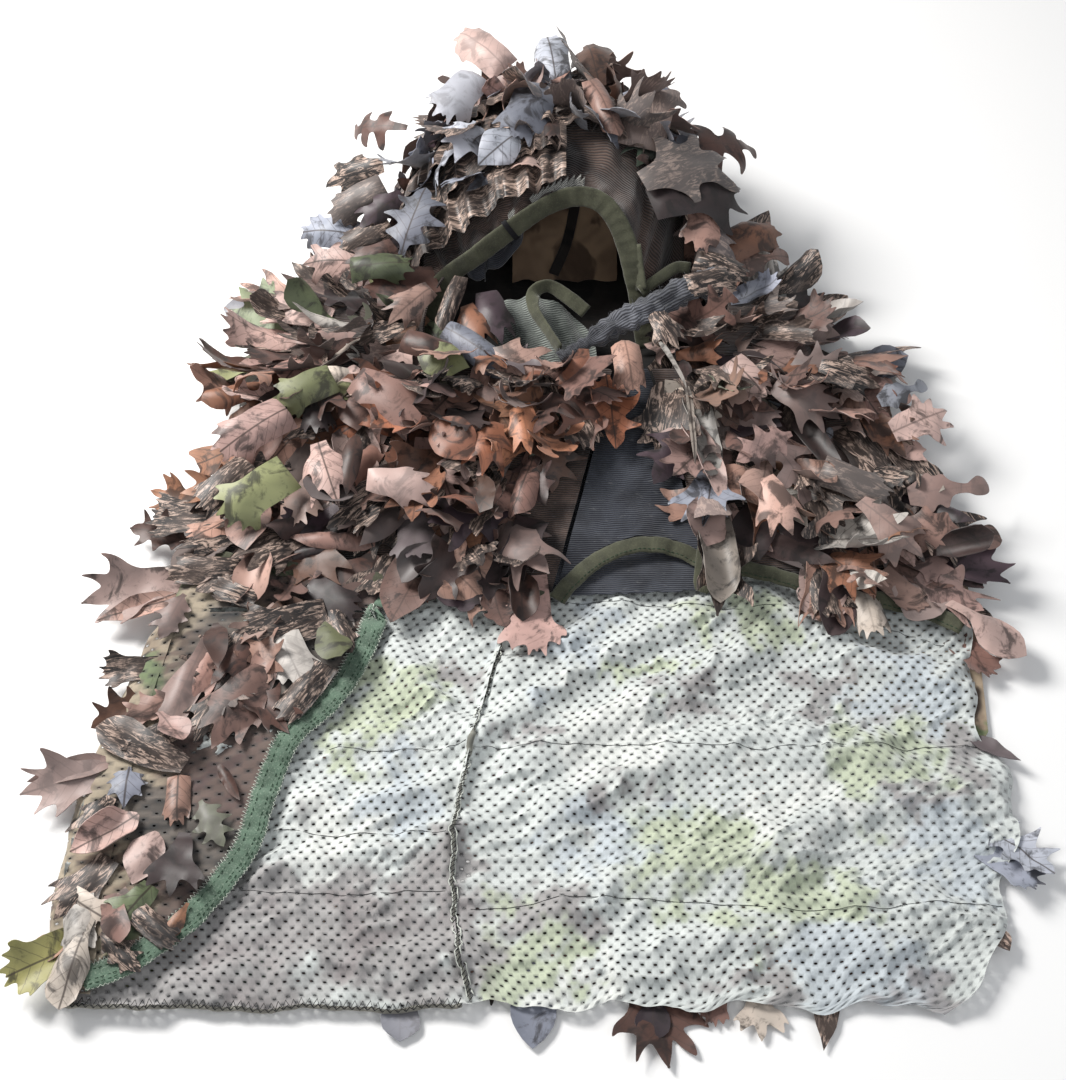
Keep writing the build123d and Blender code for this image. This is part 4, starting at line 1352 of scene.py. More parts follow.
# Two printed logs, as sloping bands: Y where they cross x = LOGS_X, slope, ripple, half width
# of the whole band and of its full strength.
LOGS_X = -0.24
LOGS = [(-0.180, 0.25, (0.018, 85, 0.04), 0.060, 0.046), (-0.330, 0.5, (0.014, 88, 0.05), 0.030, 0.020)]
LOG_DARK, LOG_PALE = srgb(52, 50, 50), srgb(112, 104, 98)
DUSKY_BROWN = srgb(92, 76, 74)


def flap_tone(x, y):
    """Print of the cape's outer side: tan ground, brown branches, dark bark, a little green."""
    slant_x, slant_y = x * 0.8 + y * 0.6, y * 0.8 - x * 0.6
    tone = np.broadcast_to(FLAP_GROUND, (*x.shape, 3)).copy()
    for seed, level, stretch, colour in FLAP_SHAPES:
        share = ease(ripple(slant_x, slant_y * stretch, seed, 0.11, 4), level, level + 0.18)
        tone += share[..., None] * (colour - tone)
    log = 0.0
    for middle, slope, (height, seed, scale), outer, inner in LOGS:
        away = np.abs(y - middle + slope * (x - LOGS_X)) - height * ripple(x, y, seed, scale)
        log = np.maximum(log, ease(-away, -outer, -inner))
    streak = 0.5 + 0.5 * ripple(x * 0.5, y * 3, 86, 0.03, 3)
    bark = LOG_DARK[None] + streak[..., None] * (LOG_PALE - LOG_DARK)
    heights = np.linspace(HEM_Y, -0.05, 40)
    inward = x - np.interp(y, heights, profile("back_panel_right", Y, heights, X, 0))
    dusk = 0.85 * ease(inward + 0.022 * ripple(x, y, 90, 0.05, 3), 0.042, 0.078)
    tone += dusk[..., None] * (DUSKY_BROWN - tone)
    tone += (log * ease(inward, 0.010, 0.050))[..., None] * (bark - tone)
    return np.clip(tone * (1 + 0.12 * ripple(x, y, 87, 0.02))[..., None], 0.01, 1)


def flap_z(x, y):
    """Upper face of the folded front: it sags onto the back between soft swellings."""
    return FRONT_TOP - 0.0012 + 0.0016 * ripple(x, y, 88, 0.07) + 0.0006 * ripple(x, y, 89, 0.025)


def flap_lattice(node, inset):
    """The flap's grid at half the hole pitch, and which of its points are within the cloth."""
    low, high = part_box(node)
    step_x, step_y = HOLE_PITCH_X / 2, HOLE_PITCH_Y / 2
    rows = 2 * int((high.y - low.y) / step_y / 2) + 1
    y = np.linspace(low.y, high.y, rows)
    left = profile(node, Y, y, X, 0)
    right = profile(node, Y, y, X, 1) + inset
    columns = 2 * int(np.max(right - left) / step_x / 2 + 2) + 1
    wanted = left[:, None] + np.arange(columns)[None] * step_x
    x = np.minimum(wanted, right[:, None])
    yy = np.broadcast_to(y[:, None], x.shape)
    keep = wanted < right[:, None] + 1.7 * step_x
    return np.stack([x, yy, flap_z(x, yy)], -1), keep


def flap_mesh(name, grid, keep=None):
    """Perforated mesh with its printed outer side up."""
    return perforated(name, grid, MESH_OUTSIDE, flap_tone(grid[..., 0], grid[..., 1]), keep)


def right_front():
    """The part of the folded front that opens."""
    piece = flap_mesh("right_front_mesh", *flap_lattice("right_front_panel", 0.004))
    ride(piece, "front", "mesh_outside", "right_front_panel")
    declare(measured(piece, 1), plan_outline("right_front_panel"))


def front_edge():
    """The middle line of the green binding, from the mantle down to the corner of the hem."""
    low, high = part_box("right_front_binding")
    y = np.linspace(high.y - 0.001, low.y + 0.002, 60)
    right = profile("right_front_binding", Y, y, X, 1)
    line = even(np.column_stack([right, y, np.full(60, FRONT_TOP)]), 0.006)
    side = np.cross(tangents(line), UP)
    line = line - side * np.sign(side[:, :1]) * 0.0088
    line[:, 2] = flap_z(line[:, 0], line[:, 1]) + 0.0006
    return line


GREEN_TAPE_WIDTH = 0.0185
GREEN_TAPE_FOLDS = {"puckers": 0.0008, "wave": 0.011, "fat": 0.0017}


def right_binding():
    """The green binding of the folded front, its three rows of stitches and its fuzzy edges."""
    line = front_edge()
    line[:, 0] += 0.0016 * ripple(line[:, 1], line[:, 0], 91, 0.05)
    path, side, up = bind("front", "green_binding", ["right_front_binding"], "right_front_tape", line, UP,
                          GREEN_TAPE_WIDTH, GREEN_TAPE, seed=92, **GREEN_TAPE_FOLDS)
    threads = Heap()
    inward = side * np.sign(-side[:, :1])
    for offset in (-0.0062, -0.0032, 0.0040):
        stitches(threads, path + inward * offset + up * 0.0016, 0.0042, 0.0026, 0.0003)
    ride(threads.make("right_front_tape_stitches", GREEN_THREAD), "front", "green_binding")
    fuzz = Heap()
    zigzag(fuzz, path + inward * 0.0088 + up * 0.0010, 0.0030, 0.0034, 0.00034)
    zigzag(fuzz, path - inward * 0.0090 + up * 0.0003, 0.0034, 0.0016, 0.00028)
    ride(fuzz.make("right_front_tape_overlock", PALE_THREAD), "front", "green_binding")


def front_fold():
    """Where the cape turns over at the wearer's right side."""
    step = HOLE_PITCH_X / 2
    y = np.linspace(HEM_Y + 0.006, -0.098, 2 * 69 + 1)
    outer = profile("back_panel_right", Y, y, X, 0) - 0.002 + 0.003 * ripple(y, y * 0, 95, 0.09)
    flap_y = np.clip(y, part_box("right_front_panel")[0].y + 0.002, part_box("right_front_panel")[1].y - 0.002)
    inner = np.maximum(profile("right_front_panel", Y, flap_y, X, 0) + 0.004, outer + 0.010)
    columns = 2 * int(np.mean(inner - outer) / step / 2 + 1.5) + 1
    t = np.linspace(0, math.pi / 2, columns)[None]
    x = outer[:, None] + (inner - outer)[:, None] * (1 - np.cos(t))
    low = BACK_Z + 0.0015
    z = low + (FRONT_TOP - 0.0006 - low) * np.sin(t) ** 0.8 + 0.001 * ripple(x, y[:, None], 96, 0.04)
    grid = np.stack([x, np.broadcast_to(y[:, None], x.shape), z], -1)
    piece = flap_mesh("right_front_fold", grid)
    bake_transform(piece)


def front_top():
    """The upper end of the folded front, which stays under the mantle, and its binding."""
    y = np.linspace(-0.128, -0.096, 2 * 6 + 1)
    left = profile("back_panel_right", Y, y, X, 0) + 0.004
    right = np.interp(y, [-0.128, -0.096], [-0.116, -0.108])
    columns = 2 * int((right - left).mean() / HOLE_PITCH_X) + 1
    u = np.linspace(0, 1, columns)[None]
    x = left[:, None] * (1 - u) + right[:, None] * u
    yy = np.broadcast_to(y[:, None], x.shape)
    grid = np.stack([x, yy, flap_z(x, yy)], -1)
    piece = flap_mesh("right_front_top", grid)
    ride(piece, "cape", "mesh_outside")
    line = [(x, y, FRONT_TOP) for x, y in ((-0.114, -0.129), (-0.107, -0.112), (-0.104, -0.098))]
    bind("cape", "green_binding", [], "right_front_tape_top", curve(line, 0.003), UP,
         GREEN_TAPE_WIDTH, GREEN_TAPE, seed=97, **GREEN_TAPE_FOLDS)


right_front()
right_binding()
front_fold()
front_top()


# ---------------------------------------------------------------- mantle
def slope_of(node):
    """Upper face of a flat sloping node at its high edge, and its rise along Y."""
    low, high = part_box(node)
    middle = (low.y + high.y) / 2
    at_middle = cut(node, Y, middle, Z)[1]
    return high.z, high.y, (high.z - at_middle) / (high.y - middle)


MANTLE_NECK_Z, MANTLE_NECK_Y, MANTLE_RISE = slope_of("mantle_gore")


def mantle_z(x, y):
    """Upper face of the mantle's cloth: the CAD slope, let down towards its hem and its sides."""
    down = MANTLE_NECK_Y - y
    height = MANTLE_NECK_Z - MANTLE_RISE * down
    height = height - 0.010 * ease(down, 0.02, 0.19)
    height = height - 0.010 * ease(np.abs(x - 0.05), 0.12, 0.30)
    height = height + 0.0022 * ripple(x, y, 101, 0.08) * ease(down, 0.0, 0.03)
    return np.maximum(height, BACK_TOP + 0.008)


def mantle_sheet(name, node, material, slot):
    """One of the cloths that the mantle is sewn from."""
    outline = plan_outline(node)
    piece, area = cloth_piece(name, outline, lambda x, y: mantle_z(x, y) - 0.0015, material)
    ride(piece, "mantle", slot, node)
    declare(area, outline)


def mantle_tape(label):
    """The olive binding along a stretch of the mantle's hem."""
    name, node = f"mantle_tape_{label}", f"mantle_binding_{label}"
    low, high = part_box(node)
    x = np.linspace(low.x + 0.001, high.x - 0.001, 40)
    y = profile(node, X, x, Y, 0) + 0.0065
    line = np.column_stack([x, y, mantle_z(x, y) + 0.0004])
    line[:, 2] += 0.0012 * ripple(x, y, 111, 0.03)
    path, side, up = bind("mantle", "olive_binding", [node], name, line, (0, -0.25, 1), 0.0135, OLIVE_TAPE,
                          puckers=0.0005, wave=0.008, seed=112, fat=0.0015)
    threads = Heap()
    stitches(threads, path + side * 0.0042 + up * 0.0014, 0.0038, 0.0025, 0.00026)
    ride(threads.make(name + "_stitches", GREEN_THREAD), "mantle", "olive_binding")


mantle_sheet("mantle_cloth_right", "mantle_panel_right", HOOD_NET, "hood_cloth")
mantle_sheet("mantle_cloth_left", "mantle_panel_left", HOOD_NET, "hood_cloth")
mantle_sheet("gore_net", "mantle_gore", GORE_NET, "net")
for label in ("right", "centre", "left"):
    mantle_tape(label)


# The part of the mantle's left panel above the hem that has no leaves: from and to across, top.
BARE_PATCH = (0.160, 0.222, -0.048)


def on_mantle(x, y, lift=0.0):
    """A point on top of the mantle's cloth."""
    return x, y, at_point(mantle_z, x, y) + lift


def mantle_frames(y_shift, side, seed):
    """Frames along a line across one side of the mantle, y_shift above its hem."""
    node = "mantle_panel_right" if side < 0 else "mantle_panel_left"
    low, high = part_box(node)
    frames = []
    for x in np.linspace(low.x + 0.004, high.x - 0.006, 90):
        bottom, top = cut(node, X, x, Y)
        y = bottom + y_shift + 0.006 * math.sin(x * 70 + seed)
        gore = cut("mantle_gore", Y, y, X)
        clear = x < gore[0] - 0.030 if side < 0 else x > gore[1] + 0.020
        if side > 0 and BARE_PATCH[0] < x < BARE_PATCH[1] and y < BARE_PATCH[2]:
            clear = False
        if y < top - 0.001 and clear:
            outward = 3.2 * (x - 0.06)
            frames.append((on_mantle(x, y), (outward, -1, -0.15), (outward * 0.3, -0.25, 1)))
    return frames


CHEST = {"taupe": 5, "rust": 4, "brown": 4, "pink": 2, "dark": 3, "bark": 2, "green": 1}
HEM_MIX = {"taupe": 5, "dark": 6, "bark": 4, "brown": 3, "pink": 1}
RIGHT_SIDE = {"taupe": 5, "bark": 4, "dark": 3, "brown": 2, "green": 3, "grey": 1, "pale": 1, "pink": 2}
LEFT_SIDE = {"taupe": 5, "pink": 5, "dark": 3, "brown": 2, "pale": 2, "bark": 2, "grey": 1}
# Each side's prints and slots from the hem upwards, in groups of four rows.
MANTLE_GROUPS = {
    "right": (-1, [(HEM_MIX, "leaf_bark"), (CHEST, "leaf_taupe"), (CHEST, "leaf_green")]),
    "left": (1, [(LEFT_SIDE, "leaf_taupe"), (LEFT_SIDE, "leaf_pale"), (LEFT_SIDE, "leaf_taupe")]),
}
ROWS_IN_GROUP = 4
FIRST_ROW, ROW_PITCH = 0.014, 0.0165           # above the hem, and from row to row
FEWEST_FRAMES = 4                              # a shorter stretch gets no leaves


def hem_loop():
    """The end of the gore's binding, turned back on itself."""
    path = curve([(0.134, -0.080, 0.031), (0.131, -0.098, 0.027), (0.130, -0.113, 0.022),
                  (0.139, -0.108, 0.026), (0.147, -0.096, 0.031)], 0.0025)
    bind("mantle", "olive_binding", [], "mantle_hem_loop", path, (0, -0.4, 0.9), 0.012, OLIVE_TAPE,
         puckers=0.0004, wave=0.008, seed=113, fat=0.0014)


def mantle_leaves(label, side, group, palette, slot):
    """One group of rows of leaves on one side of the mantle."""
    leaves = Leaves(1200 + 10 * group + side, palette, (0.054, 0.086))
    for row in range(ROWS_IN_GROUP):
        shift = FIRST_ROW + ROW_PITCH * (ROWS_IN_GROUP * group + row)
        frames = mantle_frames(shift, side, row + group)
        if len(frames) >= FEWEST_FRAMES:
            leaves.row(frames, 0.0225, lift=(0.2, 0.9), curl=(-1.7, 0.5), floor=mantle_z)
    if leaves.lengths:
        leaves.finish(f"mantle_leaf_rows_{label}_{group + 1}", "mantle", slot,
                      [f"mantle_leaves_{label}_{group + 1}"], [f"mantle_cloth_{label}"])


hem_loop()
for label, (side, groups) in MANTLE_GROUPS.items():
    for group, (palette, slot) in enumerate(groups):
        mantle_leaves(label, side, group, palette, slot)


# Larger leaves that lie on top of the mantle: stalk, tip, shape, print and roll.
MANTLE_PLACED = [
    ((-0.160, 0.065, 0.068), (-0.212, 0.040, 0.058), "strip", "green", -0.9),
    ((-0.150, 0.075, 0.064), (-0.205, 0.055, 0.058), "lance", "pale", -0.8),
    ((-0.190, -0.025, 0.058), (-0.245, -0.070, 0.044), "strip", "green", -0.7),
    ((-0.195, 0.035, 0.064), (-0.255, -0.008, 0.050), "strip", "pink", -1.2),
    ((-0.145, 0.060, 0.072), (-0.085, 0.015, 0.066), "hand", "taupe", -1.0),
    ((-0.130, -0.038, 0.062), (-0.075, -0.045, 0.058), "hand", "pink", -1.4),
    ((-0.078, 0.018, 0.068), (-0.045, -0.022, 0.064), "beech", "rust", -0.4),
    ((-0.028, 0.018, 0.066), (-0.040, -0.034, 0.060), "claw", "rust", -1.1),
    ((-0.010, 0.040, 0.064), (-0.002, -0.010, 0.060), "hand", "rust", -1.3),
    ((0.042, 0.098, 0.066), (0.034, 0.050, 0.058), "fork", "rust", -1.0),
    ((0.075, 0.105, 0.070), (0.082, 0.045, 0.062), "strip", "taupe", -1.6),
    ((-0.140, 0.010, 0.060), (-0.145, -0.050, 0.055), "lance", "dark", -1.2),
    ((-0.170, 0.000, 0.062), (-0.150, -0.060, 0.054), "claw", "pink", -1.4),
    ((-0.222, -0.010, 0.050), (-0.262, -0.060, 0.040), "strip", "bark", -1.2),
    ((0.160, 0.085, 0.068), (0.190, 0.045, 0.060), "strip", "pink", -0.8),
    ((0.195, 0.060, 0.066), (0.245, 0.030, 0.056), "hand", "taupe", -0.9),
    ((0.205, 0.010, 0.060), (0.160, -0.015, 0.056), "oak", "pink", -0.6),
    ((0.225, -0.020, 0.055), (0.285, -0.045, 0.044), "strip", "bark", -1.5),
    ((0.235, 0.085, 0.060), (0.285, 0.070, 0.048), "claw", "taupe", -1.1),
    ((0.180, -0.030, 0.056), (0.200, -0.080, 0.046), "hand", "taupe", -1.2),
    ((0.255, -0.050, 0.050), (0.300, -0.095, 0.036), "fork", "taupe", -0.9),
    ((-0.095, 0.096, 0.062), (-0.052, 0.080, 0.062), "beech", "green", -0.5),
    ((-0.075, 0.125, 0.064), (-0.015, 0.076, 0.058), "tongue", "grey", -1.4),
    ((-0.040, 0.092, 0.064), (0.020, 0.078, 0.060), "claw", "taupe", -0.9),
    ((-0.110, 0.110, 0.066), (-0.060, 0.092, 0.062), "strip", "dark", -1.5),
    ((0.104, 0.104, 0.068), (0.124, 0.050, 0.069), "stem", "pale", -0.3),
    ((0.124, 0.053, 0.069), (0.127, -0.022, 0.060), "stem", "pale", -0.3),
    ((0.296, -0.036, 0.038), (0.362, -0.020, 0.032), "stalked", "taupe", -0.3),
    ((0.286, -0.064, 0.034), (0.366, -0.070, 0.025), "stalked", "taupe", -0.3),
    ((0.282, 0.056, 0.048), (0.324, 0.080, 0.042), "stalked", "grey", -0.4),
    ((0.290, 0.026, 0.044), (0.338, 0.054, 0.038), "hand", "pink", -0.5),
]


# Leaves that lie flat beside and on the gore: stalk and tip in plan, shape and print.
GORE_LYING = [
    ((0.128, 0.070), (0.142, -0.030), "lance", "pale"), ((0.122, 0.040), (0.150, -0.045), "lance", "pink"),
    ((0.138, -0.030), (0.142, -0.128), "tongue", "pale"), ((0.150, -0.060), (0.140, -0.140), "claw", "dark"),
    ((0.060, 0.085), (0.066, 0.010), "oak", "rust"), ((0.052, 0.070), (0.030, 0.005), "hand", "rust"),
    ((-0.012, -0.075), (-0.008, -0.142), "spoon", "dark"),
    ((-0.030, -0.080), (-0.034, -0.125), "oak", "dark"),
]
NECK_STRETCHES = ((-0.215, 0.035), (0.128, 0.262))     # across, on both sides of the gore


def neck_leaves():
    """Leaves along the neck line, over the mantle's upper edge, and pale stems beside the gore."""
    leaves = Leaves(1290, CHEST, (0.045, 0.070))
    for start, end in NECK_STRETCHES:
        for y in (NECK_Y - 0.003, NECK_Y - 0.016):
            frames = []
            for x in np.linspace(start, end, 50):
                out = 2.5 * (x - 0.05)
                wavy = y + 0.012 * float(ripple(x, y, 98, 0.05))
                frames.append((on_mantle(x, wavy, 0.001), (out, -1, 0), (out * 0.3, 0.15, 1)))
            leaves.row(frames, 0.018, lift=(0.25, 0.9), curl=(-1.3, 0.2), roll=(-1.6, 1.6), floor=mantle_z)
    for stalk, tip, shape, family in GORE_LYING:
        z = on_mantle(*stalk, 0.004)[2]
        leaves.lying(stalk, tip, shape, family, z, lift=0.15, curl=-0.35, roll=1.6, twist=0.3,
                     floor=mantle_z)
    for stalk, tip, shape, family, roll in MANTLE_PLACED:
        leaves.placed(stalk, tip, shape, family, roll, floor=mantle_z)
    leaves.finish("neck_leaf_row", "mantle", "leaf_taupe", [], ["mantle_cloth_right", "mantle_cloth_left"])


neck_leaves()


# ---------------------------------------------------------------- hood
HOOD_LOW, HOOD_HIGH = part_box("hood_shell_right")
HOOD_LEFT_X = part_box("hood_shell_left")[1].x
HOOD_X = (HOOD_LOW.x + HOOD_LEFT_X) / 2
HOOD_R = (HOOD_LEFT_X - HOOD_LOW.x) / 2
HOOD_Z = HOOD_LOW.z
HOOD_CROWN_Y = HOOD_HIGH.y
HOOD_MID_Y = HOOD_LOW.y + 0.068                # behind this the hood rounds off to its crown
HOOD_CLOSES = 0.965                            # share of the way to the crown where the end closes
HOOD_FLOOR = 0.0045                            # leaves of the hood and shoulders stay above this
HOOD_CLOTHS = ["hood_cloth_right", "hood_cloth_left"]
# The edge of the face opening, from the right leg over the brow to the left leg, by the angle
# seen from the front: degrees, then x, y, z. The brow sags to the wearer's left.
BRIM = np.array([
    (-8, -0.096, 0.150, 0.012), (20, -0.081, 0.194, 0.044), (47, -0.046, 0.203, 0.075),
    (68, -0.019, 0.211, 0.095), (87, 0.010, 0.221, 0.112), (100, 0.035, 0.226, 0.119),
    (111, 0.056, 0.222, 0.117), (121, 0.071, 0.211, 0.104), (131, 0.081, 0.196, 0.084),
    (142, 0.086, 0.184, 0.066), (152, 0.090, 0.176, 0.050), (188, 0.098, 0.150, 0.012),
])


BRIM_FINE = curve(BRIM * (0.001, 1, 1, 1), 0.003) * (1000, 1, 1, 1)
BRIM_TO_TAPE = (0, -0.004, 0.001)              # from the cloth's edge to the middle of its binding


def brim(angle):
    """Place of the opening's edge at an angle in degrees."""
    angle = np.asarray(angle, float)
    return np.stack([np.interp(angle, BRIM_FINE[:, 0], BRIM_FINE[:, k]) for k in (1, 2, 3)], -1)


def hood_dome(angle, s):
    """The hood without its brim: a half round that closes into a rounded crown."""
    front = brim(angle)[..., 1]
    along = front + s * (HOOD_CROWN_Y - 0.004 - front)
    round_off = np.clip((along - HOOD_MID_Y) / (HOOD_CROWN_Y - HOOD_MID_Y), 0, 0.999)
    closing = np.clip((s - HOOD_CLOSES) / (1 - HOOD_CLOSES), 0, 1)
    radius = HOOD_R * np.sqrt(1 - round_off ** 2) * np.sqrt(1 - closing ** 2)
    turn = np.radians(angle)
    return np.stack([HOOD_X - radius * np.cos(turn), along, HOOD_Z + radius * np.sin(turn)], -1)


def hood_folds(angle, s):
    """How far the cloth's soft folds, and the gathers behind the brim, stand out."""
    fold = 0.0045 * ripple(angle * 0.002, s * 0.25, 121, 0.09) * ease(s, 0.0, 0.08)
    gather = 0.0022 * np.sin(angle * 0.42 + 2 * ripple(angle * 0.001, s * 0.1, 122, 0.05))
    return fold + gather * ease(s, 0.0, 0.06) * (1 - ease(s, 0.25, 0.5))


def hood_point(angle, s, ruffled=True):
    """A point of the hood: angle in degrees from its right foot over the top to its left foot,
    s from 0 at the brim to 1 at the crown."""
    angle, s = np.broadcast_arrays(np.asarray(angle, float), np.asarray(s, float))
    dome = hood_dome(angle, s)
    pull = (1 - ease(s, 0.0, 0.42))[..., None]
    point = dome + pull * (brim(angle) - dome)
    if ruffled:
        turn = np.radians(angle)
        out = np.stack([-np.cos(turn), 0.2 + 0 * turn, np.sin(turn)], -1)
        point = point + out * hood_folds(angle, s)[..., None]
    point[..., 2] = np.maximum(point[..., 2], HOOD_Z + 0.0005)
    return point


def hood_frame(angle, s):
    """Point, direction towards the brim and outward normal of the hood's surface."""
    point = hood_point(angle, s, False)
    forward = hood_point(angle, s - 0.02, False) - point
    aside = hood_point(angle + 2, s, False) - hood_point(angle - 2, s, False)
    up = unit(np.cross(aside, -forward))
    centre = np.array([HOOD_X, float(point[1]), HOOD_Z])
    if np.dot(up, point - centre) < 0:
        up = -up
    return point, forward, up


def hood_half(name, node, first, last):
    """Half of the hood: ribbed net outside and lining inside, as one closed cloth."""
    angles = np.linspace(first, last, 61)
    shares = np.r_[np.linspace(0, HOOD_CLOSES, 68), np.linspace(HOOD_CLOSES, 0.9995, 9)[1:]]
    piece = cloth_grid(name, hood_point(angles[None], shares[:, None]), np.radians(angles) * HOOD_R,
                       shares * 0.24, HOOD_NET, 0.0024, UP, lowest=HOOD_Z)
    piece.data.materials.append(LINING)
    one_side = 2 * (len(shares) - 1) * (len(angles) - 1)
    inside = np.zeros(len(piece.data.polygons), np.int32)
    inside[one_side:2 * one_side] = 1
    piece.data.polygons.foreach_set("material_index", inside)
    piece.data.set_sharp_from_angle(angle=math.radians(CLOTH_BEND))
    ride(piece, "hood", "hood_cloth", node)


def brim_binding():
    """The olive binding round the face opening."""
    angles = np.linspace(-4, 186, 90)
    up = np.array([hood_frame(a, 0.03)[2] for a in np.clip(angles, 2, 178)])
    outward = unit(up * 0.55 + np.array([0, -0.8, 0.25]))
    bind("hood", "olive_binding", ["face_binding"], "face_tape", brim(angles) + BRIM_TO_TAPE, outward,
         0.0175, OLIVE_TAPE, puckers=0.0005, wave=0.010, seed=131, fat=0.0016)


hood_half("hood_cloth_right", "hood_shell_right", 0, 90)
hood_half("hood_cloth_left", "hood_shell_left", 90, 180)
brim_binding()


# ---------------------------------------------------------------- hood leaves
# Larger leaves that lie on top of the hood: stalk, tip, shape, print and roll.
HOOD_PLACED = [
    ((-0.048, 0.360, 0.140), (-0.082, 0.300, 0.132), "strip", "grey", -0.8),
    ((0.005, 0.335, 0.150), (-0.012, 0.255, 0.142), "strip", "grey", -0.7),
    ((-0.050, 0.295, 0.140), (-0.066, 0.250, 0.132), "maple", "grey", -0.6),
    ((-0.012, 0.272, 0.146), (-0.046, 0.240, 0.138), "beech", "grey", -0.4),
    ((-0.025, 0.370, 0.140), (-0.070, 0.432, 0.128), "strip", "pink", -1.5),
    ((0.020, 0.350, 0.142), (0.012, 0.425, 0.130), "strip", "grey", -1.6),
    ((0.058, 0.345, 0.138), (0.048, 0.418, 0.126), "fork", "brown", -1.4),
    ((0.090, 0.275, 0.132), (0.110, 0.370, 0.124), "strip", "taupe", -0.9),
    ((0.078, 0.330, 0.140), (0.118, 0.345, 0.134), "drop", "grey", -1.4),
    ((0.048, 0.345, 0.146), (0.074, 0.275, 0.140), "tongue", "taupe", -1.9),
    ((0.092, 0.236, 0.124), (0.168, 0.290, 0.104), "claw", "bark", -0.5),
    ((0.100, 0.222, 0.112), (0.180, 0.268, 0.090), "hand", "dark", -0.7),
    ((-0.122, 0.235, 0.080), (-0.168, 0.212, 0.060), "strip", "bark", -1.2),
    ((-0.118, 0.215, 0.072), (-0.158, 0.188, 0.058), "hand", "taupe", -1.2),
    ((-0.112, 0.255, 0.094), (-0.150, 0.228, 0.076), "claw", "dark", -1.4),
    ((0.130, 0.225, 0.088), (0.172, 0.200, 0.070), "hand", "dark", -1.0),
    ((0.136, 0.195, 0.076), (0.186, 0.182, 0.064), "strip", "bark", -1.2),
    ((0.120, 0.290, 0.112), (0.195, 0.330, 0.080), "knobbed", "dark", -0.9),
    ((0.148, 0.250, 0.096), (0.142, 0.192, 0.078), "strip", "taupe", -0.8),
    ((0.158, 0.205, 0.072), (0.215, 0.255, 0.056), "strip", "brown", -1.2),
    ((0.170, 0.200, 0.060), (0.222, 0.226, 0.047), "stalked", "taupe", -0.3),
    ((-0.112, 0.196, 0.078), (-0.092, 0.256, 0.100), "oak", "grey", -0.4),
    ((-0.128, 0.265, 0.096), (-0.180, 0.250, 0.066), "strip", "bark", -1.3),
    ((-0.130, 0.285, 0.100), (-0.182, 0.290, 0.070), "claw", "bark", -1.3),
    ((-0.150, 0.240, 0.060), (-0.208, 0.255, 0.048), "strip", "grey", -1.0),
    ((-0.150, 0.205, 0.062), (-0.200, 0.215, 0.048), "claw", "pink", -1.0),
    ((-0.110, 0.320, 0.112), (-0.160, 0.345, 0.086), "knobbed", "dark", -1.0),
    ((-0.158, 0.190, 0.068), (-0.098, 0.195, 0.068), "strip", "green", -1.5),
    ((-0.060, 0.178, 0.072), (-0.076, 0.122, 0.062), "tongue", "bark", -1.8),
    ((-0.040, 0.172, 0.060), (-0.026, 0.115, 0.054), "hand", "dark", -1.5),
    ((-0.085, 0.165, 0.070), (-0.120, 0.130, 0.062), "hand", "taupe", -1.3),
    ((-0.056, 0.155, 0.060), (-0.040, 0.105, 0.056), "claw", "brown", -1.4),
    ((0.128, 0.158, 0.078), (0.176, 0.176, 0.072), "strip", "grey", -1.0),
    ((0.100, 0.135, 0.072), (0.120, 0.100, 0.064), "hand", "pink", -1.0),
]
HOOD_MIX = {"bark": 5, "taupe": 4, "dark": 3, "grey": 2, "brown": 2, "pink": 2, "green": 1}
CREST_MIX = {"taupe": 3, "grey": 3, "brown": 2, "bark": 2, "pink": 2, "dark": 1}
GREY_MIX = {"grey": 5, "taupe": 2, "green": 1, "bark": 1, "dark": 1}


def hood_rows(name, node, slot, shares, palette, seed, reach=(2, 178), ruffles=(), **rest):
    """Rows of leaves round the hood at shares of the way from the brim to the crown."""
    leaves = Leaves(seed, palette, (0.048, 0.080))
    for share in ruffles:
        frames = [hood_frame(a, share) for a in np.linspace(reach[0] + 8, reach[1] - 8, 60)]
        leaves.ruffle(frames, 0.044, 0.026, 0.017)
    for share in shares:
        frames = [hood_frame(a, share) for a in np.linspace(*reach, 80)]
        leaves.row(frames, 0.023, floor=HOOD_FLOOR, **rest)
    leaves.finish(name, "hood", slot, [node], HOOD_CLOTHS)


def hood_crest():
    """Leaves that stand along the hood's highest line."""
    leaves = Leaves(311, CREST_MIX, (0.045, 0.072))
    draw = leaves.draw
    for share in np.linspace(0.48, 0.80, 8):
        for side in (-1, 1):
            angle = 92 + side * draw.uniform(2, 16)
            point, forward, up = hood_frame(angle, share)
            toward = up * 0.35 + forward * draw.uniform(-14, 20) + np.array([side * 0.6, 0.1, 0])
            leaves.leaf(point, toward, forward * 20 + up * 0.1, draw.uniform(-0.3, 0.3),
                        draw.uniform(-1.2, 1.2), draw.uniform(-1.5, 1.5), 0.4,
                        size=draw.uniform(0.030, 0.048), floor=HOOD_FLOOR,
                        shape=draw.choice(["strip", "spoon", "drop", "strip", "knobbed", "tongue"]))
    leaves.finish("hood_crest_leaves", "hood", "leaf_pale", ["hood_leaves_crest"], ["hood_cloth_right"])


def hood_large_leaves():
    """The larger leaves of the hood, each at its own place."""
    leaves = Leaves(315, HOOD_MIX)
    for stalk, tip, shape, family, roll in HOOD_PLACED:
        leaves.placed(stalk, tip, shape, family, roll, floor=HOOD_FLOOR)
    leaves.finish("hood_large_leaves", "hood", "leaf_pale", [], HOOD_CLOTHS)


